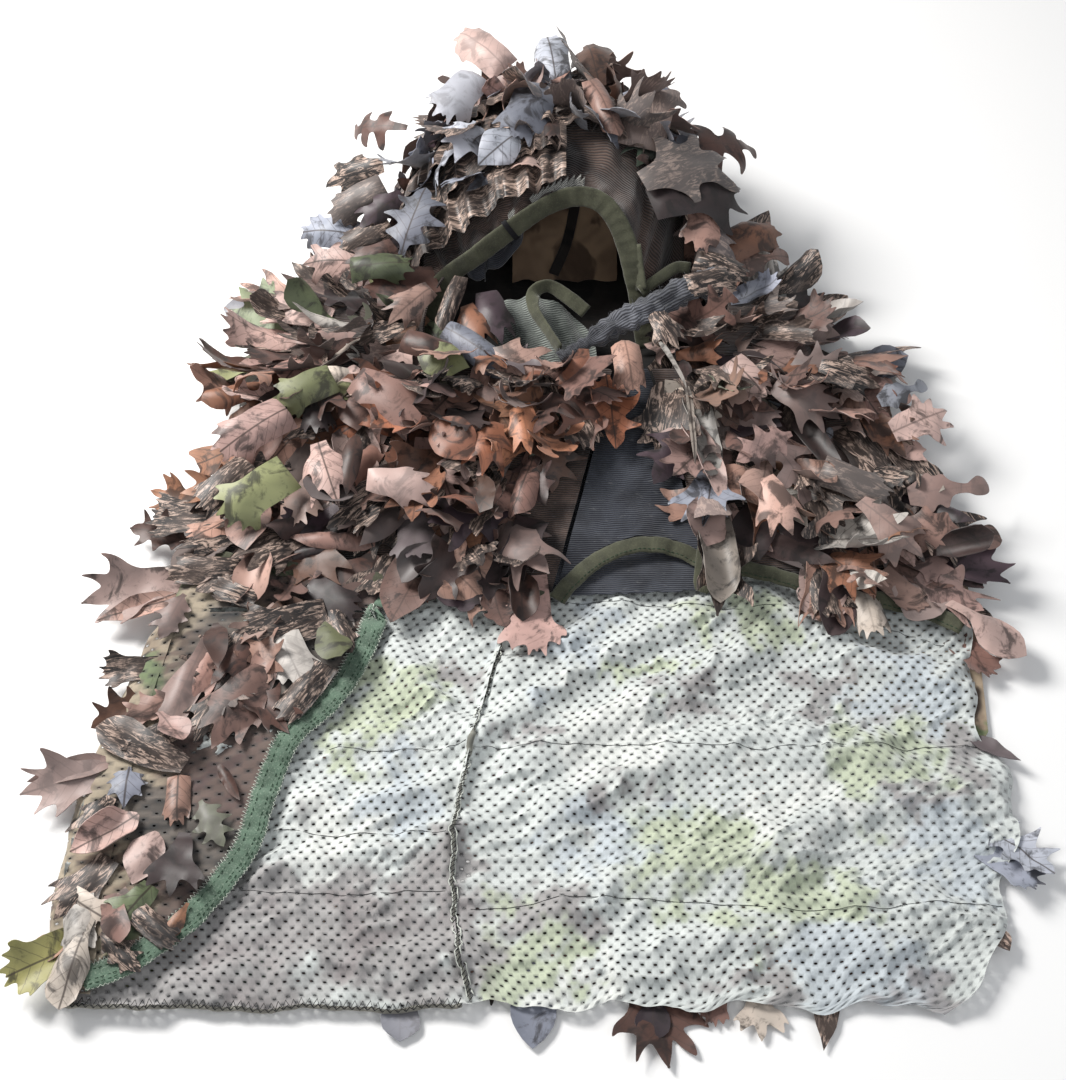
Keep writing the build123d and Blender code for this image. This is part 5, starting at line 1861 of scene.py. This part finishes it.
hood_rows("hood_brow_leaves", "hood_leaves_brow", "leaf_taupe", (0.31, 0.38), HOOD_MIX, 301,
          reach=(0, 104), ruffles=(0.29, 0.38), miss=0.35, size=0.048)
hood_rows("hood_middle_leaves", "hood_leaves_middle", "leaf_taupe", (0.44, 0.53), GREY_MIX, 302,
          ruffles=(0.48,))
hood_rows("hood_back_leaves", "hood_leaves_back", "leaf_bark", (0.60, 0.70), HOOD_MIX, 303,
          ruffles=(0.62,), lift=(0.0, 0.7), curl=(-1.2, 0.4))
hood_rows("hood_crown_leaves", "hood_leaves_crown", "leaf_taupe", (0.80, 0.88, 0.95), CREST_MIX, 304,
          lift=(0.0, 0.7), curl=(-1.2, 0.4))
hood_crest()
hood_large_leaves()


# ---------------------------------------------------------------- inside and front of the hood
def hood_floor():
    """The hood's back, lying flat under the opening, near black with painted shade of the hood's hollow."""
    outline = plan_outline("hood_back_panel")
    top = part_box("hood_back_panel")[1].z

    def height(x, y):
        return top - 0.001 + 0.0012 * ripple(x, y, 141, 0.05)

    # near black: painted shade inside the hollow hood, on a cloth whose lining is tan elsewhere
    piece, area = cloth_piece("hood_floor", outline, height, DARK_TAPE_AND_SHADE, 0.0014)
    ride(piece, "hood", "hood_cloth", "hood_back_panel")
    declare(area, outline)


def hood_seam():
    """The seam over the crown: a flat fell outside, a dark tape inside."""
    shares = np.linspace(0.01, 0.985, 90)
    outside = hood_point(92, shares) + (0, 0, 0.0012)
    up = np.array([hood_frame(92.0, s)[2] for s in np.clip(shares, 0.03, 0.97)])
    bind("hood", "hood_cloth", ["hood_centre_seam"], "hood_seam_fell", outside, up, 0.009, HOOD_NET,
         puckers=0.0004, wave=0.008, seed=143, fat=0.0008)
    inside = hood_point(95, shares) - up * 0.0030
    bind("hood", "hood_cloth", [], "hood_seam_tape", inside, up, 0.013, DARK_TAPE_AND_SHADE,
         puckers=0.0003, wave=0.010, seed=144, fat=0.0006)


CHEEK_LOW = 0.010                              # the cheek's cloth and leaves stay above this


def cheek_point(angle, t, side):
    """A point of the cloth between the face opening and the neck, on one side."""
    angle, t = np.broadcast_arrays(np.asarray(angle, float), np.asarray(t, float))
    front = brim(angle if side < 0 else 180 - angle)
    reach = 0.118 - 0.040 * ease(angle, 0, 60)
    neck = np.stack([HOOD_X + side * reach, np.full(t.shape, NECK_Y + 0.005),
                     0.012 + 0.036 * ease(angle, 0, 50)], -1)
    point = front + t[..., None] * (neck - front)
    fold = 0.004 * ripple(angle * 0.003, t * 0.06, 151 + side, 0.05)
    point[..., 2] += fold + 0.010 * np.sin(t * math.pi) * ease(angle, 10, 50)
    point[..., 0] += side * 0.012 * np.sin(t * math.pi)
    point[..., 2] = np.maximum(point[..., 2], CHEEK_LOW)
    return point


def cheek(name, side, node):
    """The hood's cloth between one leg of the opening and the neck."""
    angles, shares = np.linspace(0, 27, 20), np.linspace(0, 1, 26)
    piece = cloth_grid(name, cheek_point(angles[None], shares[:, None], side), np.radians(angles) * 0.1,
                       shares * 0.1, HOOD_NET, NET_CLOTH, UP)
    piece.data.set_sharp_from_angle(angle=math.radians(CLOTH_BEND))
    ride(piece, "hood", "hood_cloth", node)


def cheek_frames(side, angle):
    """Frames along a cheek from the opening to the neck."""
    frames = []
    for t in np.linspace(0.05, 1.0, 30):
        point = cheek_point(angle, t, side)
        outward = np.array([side * 0.8, -0.25, 0.0])
        frames.append((point, outward + (0, -0.3, 0), np.array([side * 0.5, -0.2, 0.9])))
    return frames


def cheek_leaves(side, label, palette):
    """The rows of leaves on one cheek."""
    leaves = Leaves(330 + side, palette, (0.045, 0.072))
    for angle in (4, 11, 18, 25):
        leaves.row(cheek_frames(side, angle), 0.020, lift=(0.1, 0.9), curl=(-0.6, 1.0), roll=(-1.5, 1.5),
                   floor=CHEEK_LOW)
    leaves.finish(f"cheek_leaf_rows_{label}", "hood", "leaf_taupe", [f"cheek_leaves_{label}"],
                  [f"cheek_cloth_{label}"])


def inner_flap():
    """A scalloped flap of dark net that hangs inside the right side of the opening."""
    share, drop = np.linspace(0, 1, 30), np.linspace(0, 1, 14)[:, None]
    top = brim(38 + share * 36) + (0, 0.004, -0.002)
    deep = 0.030 * np.sin(np.clip(share * 1.05, 0, 1) * math.pi) ** 0.5
    deep = deep * (1 + 0.13 * np.sin(share * 21))
    hang = [0.006 * drop * np.sin(share * 9), -0.010 * drop * np.ones_like(share), -drop * deep - 0.0005]
    piece = cloth_grid("inner_net_flap", top[None] + np.stack(hang, -1), share * 0.05, drop.ravel() * 0.03,
                       GORE_NET, 0.0010, (0, -1, 0))
    ride(piece, "hood", "net", "inner_mesh_flap")


def tack():
    """Dark thread wound round the face binding, with its two loose ends."""
    centre = brim(68) + BRIM_TO_TAPE
    along = unit(brim(70) - brim(66))
    across = unit(np.cross(along, (0, -1.0, 0.3)))
    out = np.cross(across, along)
    turn = np.linspace(0, math.tau, 19)[:, None]
    heap = Heap()
    for k in range(-2, 3):
        ring = centre + along * k * 0.0009 + across * np.cos(turn) * 0.0100 + out * np.sin(turn) * 0.0030
        heap.tube(ring, 0.0005, 6)
    t = np.linspace(0, 1, 9)[:, None]
    for swing in (-1, 1):
        end = centre - out * 0.0032 + along * swing * 0.006 * t + across * 0.010 * t ** 2 - (0, 0, 0.004) * t
        heap.tube(end, 0.0004)
    ride(heap.make("face_tape_tack", BLACK_THREAD), "hood", "black_thread", "binding_tack")


def corner_tape():
    """The olive strips at the opening's lower left corner."""
    upper = curve([(0.086, 0.196, 0.090), (0.089, 0.184, 0.074), (0.092, 0.172, 0.060)], 0.003)
    lower = curve([(0.091, 0.170, 0.060), (0.108, 0.181, 0.066), (0.122, 0.190, 0.069),
                   (0.134, 0.192, 0.066)], 0.003)
    bind("hood", "olive_binding", ["face_binding_corner"], "corner_tape_upper", upper, (-0.5, -0.9, 0.2),
         0.011, OLIVE_TAPE, puckers=0.0004, wave=0.008, seed=161, fat=0.0014)
    bind("hood", "olive_binding", [], "corner_tape_lower", lower, (0.1, -0.7, 0.7),
         0.010, OLIVE_TAPE, puckers=0.0006, wave=0.009, seed=162, fat=0.0016)


def frill():
    """Crimped pale net that stands out of the face binding over the brow."""
    angles, shares = np.linspace(66, 104, 90), np.linspace(0, 1, 5)
    root = brim(angles) + (0, 0.002, 0.004)
    crimp = np.sin(angles * 2.3)
    tip = root + np.stack([0.002 * crimp, 0.006 + 0.002 * crimp, 0.007 + 0.0022 * crimp], -1)
    points = root + (tip - root) * shares[:, None, None]
    piece = cloth_grid("brow_frill", points, angles * 0.002, shares * 0.01, PALE_NET, 0.0006, (0, -1, 1))
    ride(piece, "hood", "net")


COLLAR_STEP = 0.0022
COLLAR_SIDES = 26
FRAYED_THREADS = 420


def collar_roll():
    """A frayed roll of gathered grey net along the left side of the neck, and its loose threads."""
    path = curve([(0.022, 0.102, 0.050), (0.045, 0.113, 0.057), (0.073, 0.131, 0.063),
                  (0.100, 0.143, 0.068), (0.128, 0.162, 0.070), (0.158, 0.176, 0.068)], COLLAR_STEP)
    n = np.arange(len(path))
    radius = 0.0055 + 0.0060 * ease(n / n[-1], 0.0, 0.5)
    radius = radius + 0.0022 * ripple(n * COLLAR_STEP, n * 0.0, 171, 0.02)
    points, faces = tube(path, radius, COLLAR_SIDES)
    ring = np.tile(np.arange(COLLAR_SIDES), len(path))
    step = np.repeat(n, COLLAR_SIDES)
    centre = np.repeat(path, COLLAR_SIDES, 0)
    drift = 4.0 * ripple(step * COLLAR_STEP, step * 0.0, 174, 0.035)
    groove = 0.0022 * np.sin(ring * math.tau / COLLAR_SIDES * 4 + drift)
    groove = groove + 0.0010 * ripple(step * COLLAR_STEP, ring * 0.002, 173, 0.012)
    groove = groove * ease(radius[step], 0.004, 0.010)
    points = points + unit(points - centre) * groove[:, None]
    points[:, 2] = centre[:, 2] + (points[:, 2] - centre[:, 2]) * 0.75
    flat = np.column_stack([step, ring]) * COLLAR_STEP
    ride(new_piece("collar_net_roll", points, faces, COLLAR_NET, None, flat), "hood", "net")
    draw = rng(172)
    heap = Heap()
    t = np.linspace(0, 1, 4)[:, None]
    for _ in range(FRAYED_THREADS):
        i = int(len(path) * draw.uniform(0, 1) ** 1.8)
        side = unit(draw.normal(0, 1, 3) + (-0.3, 0, 0.7))
        fray = path[i] + side * (0.75 * radius[i] + draw.uniform(0.002, 0.006) * t)
        heap.tube(fray + draw.normal(0, 0.0014, 3) * t ** 2, 0.00011, 3)
    ride(heap.make("collar_frayed_threads", GREY_THREAD), "hood", "net")


def inside_lining():
    """The tan lining behind the opening, where the hood's back turns up, and its dark seam."""
    low, high = np.array([-0.018, 0.222]), np.array([0.074, 0.284])
    across = np.linspace(low[0], high[0], 14)
    outline = np.array([*[(x, low[1]) for x in across], *[(x, high[1]) for x in across[::-1]]])

    def height(x, y):
        share = (y - low[1]) / (high[1] - low[1])
        return 0.022 + 0.046 * share + 0.004 * ripple(x, y, 191, 0.04) - 0.006 * np.sin(share * math.pi)

    piece, area = cloth_piece("hood_tan_lining", outline, height, TAN_LINING, 0.0012, 0.006)
    ride(piece, "hood", "hood_cloth")
    declare(area, outline)
    seam = ((0.018, 0.226), (0.030, 0.250), (0.038, 0.280))
    line = [(x, y, at_point(height, x, y) + 0.0016) for x, y in seam]
    bind("hood", "hood_cloth", [], "hood_tan_lining_seam", curve(line, 0.003), (0, -0.6, 0.8), 0.009,
         DARK_TAPE_AND_SHADE, puckers=0.0003, wave=0.010, seed=192, fat=0.0008)


VEIL_RIGHT_EDGE = -0.030                       # the cloth of the veil ends here, across


def veil():
    """The face veil, sewn at the neck, and its bound edge that has fallen into a loop."""
    outline = plan_outline("veil_panel")
    outline[:, 0] = np.maximum(outline[:, 0], VEIL_RIGHT_EDGE + 0.003 * np.sin(outline[:, 1] * 160))
    low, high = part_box("veil_panel")
    near, far = cut("veil_panel", Y, low.y + 0.004, Z)[1], cut("veil_panel", Y, high.y - 0.004, Z)[1]
    rise = (far - near) / (high.y - low.y - 0.008)

    def height(x, y):
        swell = 0.006 * np.exp(-((x - 0.005) / 0.022) ** 2)
        return near + rise * (y - low.y) + swell + 0.0022 * np.sin((x + 0.4 * y) * math.tau / 0.021)

    piece, area = cloth_piece("veil_net", outline, height, VEIL_NET, 0.0010, 0.0035)
    ride(piece, "veil", "net", "veil_panel")
    declare(area, outline)
    loop = curve([(0.0225, 0.112, 0.050), (0.012, 0.132, 0.052), (0.001, 0.153, 0.056),
                  (0.001, 0.168, 0.061), (0.013, 0.174, 0.063), (0.029, 0.166, 0.058),
                  (0.045, 0.155, 0.051)], 0.003)
    up = np.linspace((-0.9, -0.8, 0.25), (0.6, -0.8, 0.25), len(loop))
    bind("veil", "olive_binding", ["veil_binding"], "veil_tape", loop, up, 0.012, OLIVE_TAPE,
         puckers=0.0004, wave=0.008, seed=181, fat=0.0013)


hood_floor()
hood_seam()
cheek("cheek_cloth_right", -1, "hood_cheek_right")
cheek("cheek_cloth_left", 1, "hood_cheek_left")
cheek_leaves(-1, "right", RIGHT_SIDE)
cheek_leaves(1, "left", LEFT_SIDE)
inner_flap()
tack()
corner_tape()
frill()
collar_roll()
inside_lining()
veil()


# ---------------------------------------------------------------- shoulders
SHOULDER_BOXES = [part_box("shoulder_right"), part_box("shoulder_left")]
SHOULDER_WIDE = [high.x - low.x for low, high in SHOULDER_BOXES]
SHOULDER_INNER = [SHOULDER_BOXES[0][1].x, SHOULDER_BOXES[1][0].x]
SHOULDER_LOW, SHOULDER_HIGH = 0.0065, SHOULDER_BOXES[1][1].z


def shoulder_z(x, y):
    """A low mound beside the hood that falls to the ground outwards and behind."""
    side = np.sign(x - HOOD_X)
    inner = np.where(side < 0, *SHOULDER_INNER)
    width = np.where(side < 0, *SHOULDER_WIDE)
    out = np.clip((x - inner) * side / width, 0, 1)
    back = np.clip((y - NECK_Y) / 0.130, 0, 1)
    r = np.clip(np.hypot(out, back), 0, 1)
    mound = (SHOULDER_HIGH - SHOULDER_LOW) * np.sqrt(1 - r ** 2.6)
    return SHOULDER_LOW + mound + 0.002 * ripple(x, y, 191, 0.06)


def shoulder(label, side, palette, seed):
    """The cloth of one shoulder and the rows of leaves on it."""
    node = f"shoulder_{label}"
    outline = plan_outline(node)
    low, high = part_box(node)
    piece, area = cloth_piece(f"shoulder_cloth_{label}", outline, shoulder_z, HOOD_NET, NET_CLOTH, 0.006)
    ride(piece, "cape", "hood_cloth", node)
    declare(area, outline)
    leaves = Leaves(seed, palette, (0.050, 0.082))
    for y in np.linspace(low.y + 0.006, high.y - 0.012, 7):
        xs = cut(node, Y, y, X)
        frames = []
        for x in np.linspace(xs[0], xs[1], 30):
            out = abs(x - HOOD_X) / 0.2
            point = (x, y, at_point(shoulder_z, x, y) - 0.001)
            frames.append((point, (side * out, 0.9 * (y - 0.16) / 0.08 - 0.15, 0), (side * 0.35, 0.1, 1)))
        leaves.row(frames, 0.019, lift=(0.05, 0.75), curl=(-0.9, 0.9), roll=(-1.6, 1.6), floor=HOOD_FLOOR)
    leaves.finish(f"shoulder_leaf_rows_{label}", "cape", "leaf_taupe", [f"shoulder_leaves_{label}"],
                  [f"shoulder_cloth_{label}"])


shoulder("right", -1, RIGHT_SIDE, 341)
shoulder("left", 1, LEFT_SIDE, 342)


# ---------------------------------------------------------------- flat pieces under the mantle and the back
def flat_cloth(name, node, material, top, wave=0.0008):
    """A cloth of the cape that lies level, its upper face at top."""
    outline = plan_outline(node)
    piece, area = cloth_piece(name, outline, lambda x, y: top + wave * ripple(x, y, 201, 0.06), material)
    ride(piece, "cape", "mesh_outside", node)
    declare(area, outline)


def mantle_back():
    """The mantle's own back, inside the cape: dark net with a frayed hem that shows under the gore."""
    outline = plan_outline("mantle_back_panel")
    low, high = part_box("mantle_back_panel")
    fine = clean_loop(outline, 0.002)
    near_hem = ease(-fine[:, 1], -low.y - 0.035, -low.y - 0.015)
    fine[:, 1] += near_hem * (0.002 * ripple(fine[:, 0], fine[:, 0] * 0, 203, 0.008, 3) - 0.016)

    def height(x, y):
        return high.z + 0.001 * ripple(x, y, 204, 0.05)

    piece, area = cloth_piece("mantle_back_net", fine, height, GORE_NET)
    ride(piece, "cape", "net", "mantle_back_panel")
    declare(area, fine)


def left_binding():
    """The green binding of the left front, which lies flat on the ground."""
    low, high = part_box("left_front_binding")
    line = [((low.x + high.x) / 2, y, 0.0022) for y in np.linspace(low.y + 0.002, high.y - 0.002, 90)]
    bind("cape", "green_binding", ["left_front_binding"], "left_front_tape", line, UP,
         high.x - low.x - 0.001, GREEN_TAPE, puckers=0.0002, wave=0.011, seed=211, fat=0.0012)


for label in ("right", "left"):
    yoke_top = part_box(f"yoke_{label}")[1].z - 0.001
    flat_cloth(f"yoke_cloth_{label}", f"yoke_{label}", HOOD_CAMO, yoke_top)
flat_cloth("left_front_cloth", "left_front_panel", TAN_CAMO, 0.0030, 0.0004)
mantle_back()
left_binding()

UNDER_MIX = {"dark": 4, "taupe": 3, "brown": 2, "bark": 2, "grey": 1, "green": 1}
# How leaves lie that are pressed between the ground and a cloth.
PRESSED = {"lift": (0, 0.1), "curl": (-0.2, 0.2), "roll": (-0.3, 0.3), "level": (0.0008, 0.0034),
           "floor": 0.0}


def level_frames(xs, y, direction=-1):
    """Frames of a level row whose leaves hang towards the hem, or the other way with 1."""
    return [((x, y, 0.001), (0, direction, 0), UP) for x in xs]


def flat_leaf_row(number, node, body, name, slot, direction=-1):
    """Leaves pressed flat between the ground and the cloth that they are sewn to."""
    low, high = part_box(node)
    leaves = Leaves(400 + number, UNDER_MIX, (0.055, 0.075))
    xs = np.linspace(low.x + 0.012, high.x - 0.012, 40)
    for start in (0.0235, 0.006):
        root = (high.y if direction < 0 else low.y) + direction * start
        leaves.row(level_frames(xs, root, direction), 0.026, spread=0.35, **PRESSED)
    leaves.finish(name, body, slot, [node], [], "laid")


# Leaves whose tips show past the hem and the side edges: stalk and tip in plan, shape, print.
HEM_TIPS = [
    ((-0.089, -0.420), (-0.088, -0.470), "spoon", "grey"),
    ((0.000, -0.410), (0.000, -0.474), "drop", "grey"),
    ((0.074, -0.415), (0.088, -0.486), "hand", "dark"),
    ((0.082, -0.425), (0.079, -0.470), "spoon", "dark"),
    ((0.151, -0.425), (0.151, -0.470), "fork", "pale"),
    ((0.200, -0.425), (0.192, -0.476), "lance", "bark"),
    ((0.125, -0.430), (0.118, -0.462), "strip", "taupe"),
]
RIGHT_TIPS = [
    ((-0.275, -0.098), (-0.342, -0.124), "hand", "pink"),
    ((-0.270, -0.115), (-0.330, -0.140), "lance", "taupe"),
    ((-0.304, -0.272), (-0.362, -0.292), "hand", "pink"),
    ((-0.302, -0.262), (-0.360, -0.282), "lance", "taupe"),
    ((-0.302, -0.404), (-0.356, -0.436), "strip", "moss"),
    ((-0.306, -0.396), (-0.340, -0.420), "drop", "brown"),
    ((-0.280, -0.182), (-0.326, -0.188), "strip", "taupe"),
    ((-0.285, -0.205), (-0.322, -0.235), "oak", "brown"),
    ((-0.270, -0.060), (-0.318, -0.050), "oak", "taupe"),
    ((-0.262, -0.030), (-0.306, -0.012), "fork", "brown"),
]
LEFT_TIPS = [
    ((0.318, -0.236), (0.352, -0.262), "lance", "dark"),
    ((0.322, -0.310), (0.360, -0.354), "oak", "grey"),
    ((0.318, -0.330), (0.352, -0.366), "strip", "grey"),
    ((0.306, -0.380), (0.322, -0.410), "drop", "bark"),
    ((0.322, -0.150), (0.346, -0.190), "strip", "taupe"),
    ((0.318, -0.120), (0.352, -0.135), "drop", "dark"),
]


def hem_leaf_row():
    """The lowest row under the back; its leaves end at the hem except the few that show."""
    leaves = Leaves(405, UNDER_MIX, (0.050, 0.066))
    low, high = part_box("back_leaf_strip_5")
    for root in (HEM_Y + 0.078, HEM_Y + 0.064):
        leaves.row(level_frames(np.linspace(low.x, high.x, 50), root), 0.027, spread=0.3, **PRESSED)
    for tip in HEM_TIPS:
        leaves.lying(*tip, z=0.0015, lift=0.0, curl=0.1, roll=0.25)
    leaves.finish("back_leaf_row_5", "cape", "leaf_green", ["back_leaf_strip_5"], [], "laid")


def side_leaves(label, seed, palette, slot, tips, **lie):
    """Leaves whose tips show past one side edge of the cape."""
    leaves = Leaves(seed, palette)
    for tip in tips:
        leaves.lying(*tip, **lie)
    leaves.finish(f"side_leaf_tips_{label}", "cape", slot, [f"side_leaves_{label}"], [], "laid")


for number, slot in enumerate(("leaf_taupe", "leaf_bark", "leaf_pale", "leaf_bark"), 1):
    flat_leaf_row(number, f"back_leaf_strip_{number}", "cape", f"back_leaf_row_{number}", slot)
flat_leaf_row(7, "crown_under_leaves", "hood", "crown_flat_leaves", "leaf_taupe", 1)
flat_leaf_row(8, "neck_under_leaves", "hood", "neck_flat_leaves", "leaf_taupe")
hem_leaf_row()
side_leaves("right", 421, RIGHT_SIDE, "leaf_taupe", RIGHT_TIPS,
            z=0.010, lift=0.25, curl=-0.3, roll=0.9, twist=0.5)
side_leaves("left", 422, LEFT_SIDE, "leaf_pale", LEFT_TIPS,
            z=0.0045, lift=0.12, curl=0.1, roll=0.6, twist=0.3)


# ---------------------------------------------------------------- leaves of the folded front
FLAP_MIX = {"taupe": 5, "pink": 2, "dark": 5, "bark": 4, "brown": 2, "green": 1}
# The four groups from the mantle to the hem: slot, how many leaves are strewn, and the stalk and
# tip in plan, shape and print of the leaves that lie apart.
FLAP_GROUPS = [
    ("leaf_taupe", 9, [
        ((-0.195, -0.148), (-0.168, -0.205), "strip", "pale"),
        ((-0.245, -0.158), (-0.266, -0.238), "spoon", "taupe"),
        ((-0.212, -0.126), (-0.252, -0.110), "strip", "bark"),
        ((-0.155, -0.140), (-0.228, -0.162), "strip", "bark"),
        ((-0.176, -0.108), (-0.130, -0.140), "strip", "dark"),
        ((-0.232, -0.168), (-0.256, -0.220), "claw", "taupe"),
        ((-0.226, -0.098), (-0.290, -0.098), "strip", "bark"),
        ((-0.155, -0.128), (-0.136, -0.172), "oak", "dark"),
        ((-0.182, -0.120), (-0.205, -0.165), "hand", "brown"),
        ((-0.268, -0.118), (-0.282, -0.160), "oak", "taupe"),
    ]),
    ("leaf_green", 3, [
        ((-0.200, -0.184), (-0.232, -0.256), "hand", "taupe"),
        ((-0.250, -0.272), (-0.320, -0.238), "tongue", "dark"),
        ((-0.262, -0.210), (-0.302, -0.236), "oak", "taupe"),
        ((-0.152, -0.182), (-0.186, -0.240), "strip", "bark"),
        ((-0.222, -0.205), (-0.246, -0.250), "hand", "bark"),
        ((-0.258, -0.240), (-0.300, -0.262), "strip", "bark"),
    ]),
    ("leaf_taupe", 2, [
        ((-0.290, -0.272), (-0.290, -0.306), "maple", "grey"),
        ((-0.264, -0.325), (-0.276, -0.366), "beech", "pink"),
        ((-0.254, -0.278), (-0.250, -0.322), "strip", "taupe"),
        ((-0.226, -0.270), (-0.208, -0.300), "lance", "dark"),
        ((-0.236, -0.300), (-0.216, -0.336), "oak", "green"),
        ((-0.300, -0.296), (-0.318, -0.336), "claw", "pink"),
    ]),
    ("leaf_taupe", 3, [
        ((-0.300, -0.384), (-0.312, -0.458), "spoon", "pale"),
        ((-0.312, -0.372), (-0.302, -0.425), "strip", "pale"),
        ((-0.236, -0.380), (-0.246, -0.406), "drop", "brown"),
        ((-0.262, -0.366), (-0.286, -0.402), "hand", "green"),
        ((-0.276, -0.384), (-0.236, -0.414), "strip", "bark"),
        ((-0.318, -0.374), (-0.286, -0.394), "strip", "pale"),
        ((-0.292, -0.402), (-0.262, -0.430), "oak", "green"),
    ]),
]
ON_FLAP = FRONT_TOP + 0.0005                   # leaves on the folded front stay above this


def strewn(leaves, low, high, count):
    """Leaves at random places of the folded front between two heights."""
    draw = leaves.draw
    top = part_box("right_front_panel")[1].y - 0.003
    for _ in range(count):
        y = draw.uniform(low, high)
        left, right = cut("right_front_panel", Y, min(y, top), X)
        x = draw.uniform(left + 0.004, right - 0.030)
        toward = (draw.normal(0, 0.8), -1, 0)
        leaves.leaf((x, y, FRONT_TOP), toward, UP, draw.uniform(0.1, 0.7), draw.uniform(-1.4, 0.4),
                    draw.uniform(-2.0, 1.5), draw.uniform(-0.5, 0.5), floor=ON_FLAP)


def flap_leaves(number, slot, count, chosen):
    """One group of the folded front's leaves."""
    node = f"right_front_leaves_{number}"
    low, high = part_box(node)
    leaves = Leaves(440 + number, FLAP_MIX, (0.040, 0.062), 0.65)
    for stalk, tip, shape, family in chosen:
        leaves.placed((*stalk, FRONT_TOP + 0.003), (*tip, FRONT_TOP + 0.002), shape, family,
                      -leaves.draw.uniform(0.6, 1.8), 0.4, floor=ON_FLAP)
    strewn(leaves, low.y + 0.012, high.y + (0.018 if number == 1 else -0.004), count)
    leaves.finish(f"right_front_leaf_row_{number}", "front", slot, [node], ["right_front_mesh"])


for number, group in enumerate(FLAP_GROUPS, 1):
    flap_leaves(number, *group)


# ---------------------------------------------------------------- end
# A CAD node that no piece stands for would be seen as plain printed cloth.
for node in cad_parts.values():
    if not node.hide_render:
        node.data.materials.clear()
        node.data.materials.append(HOOD_CAMO)
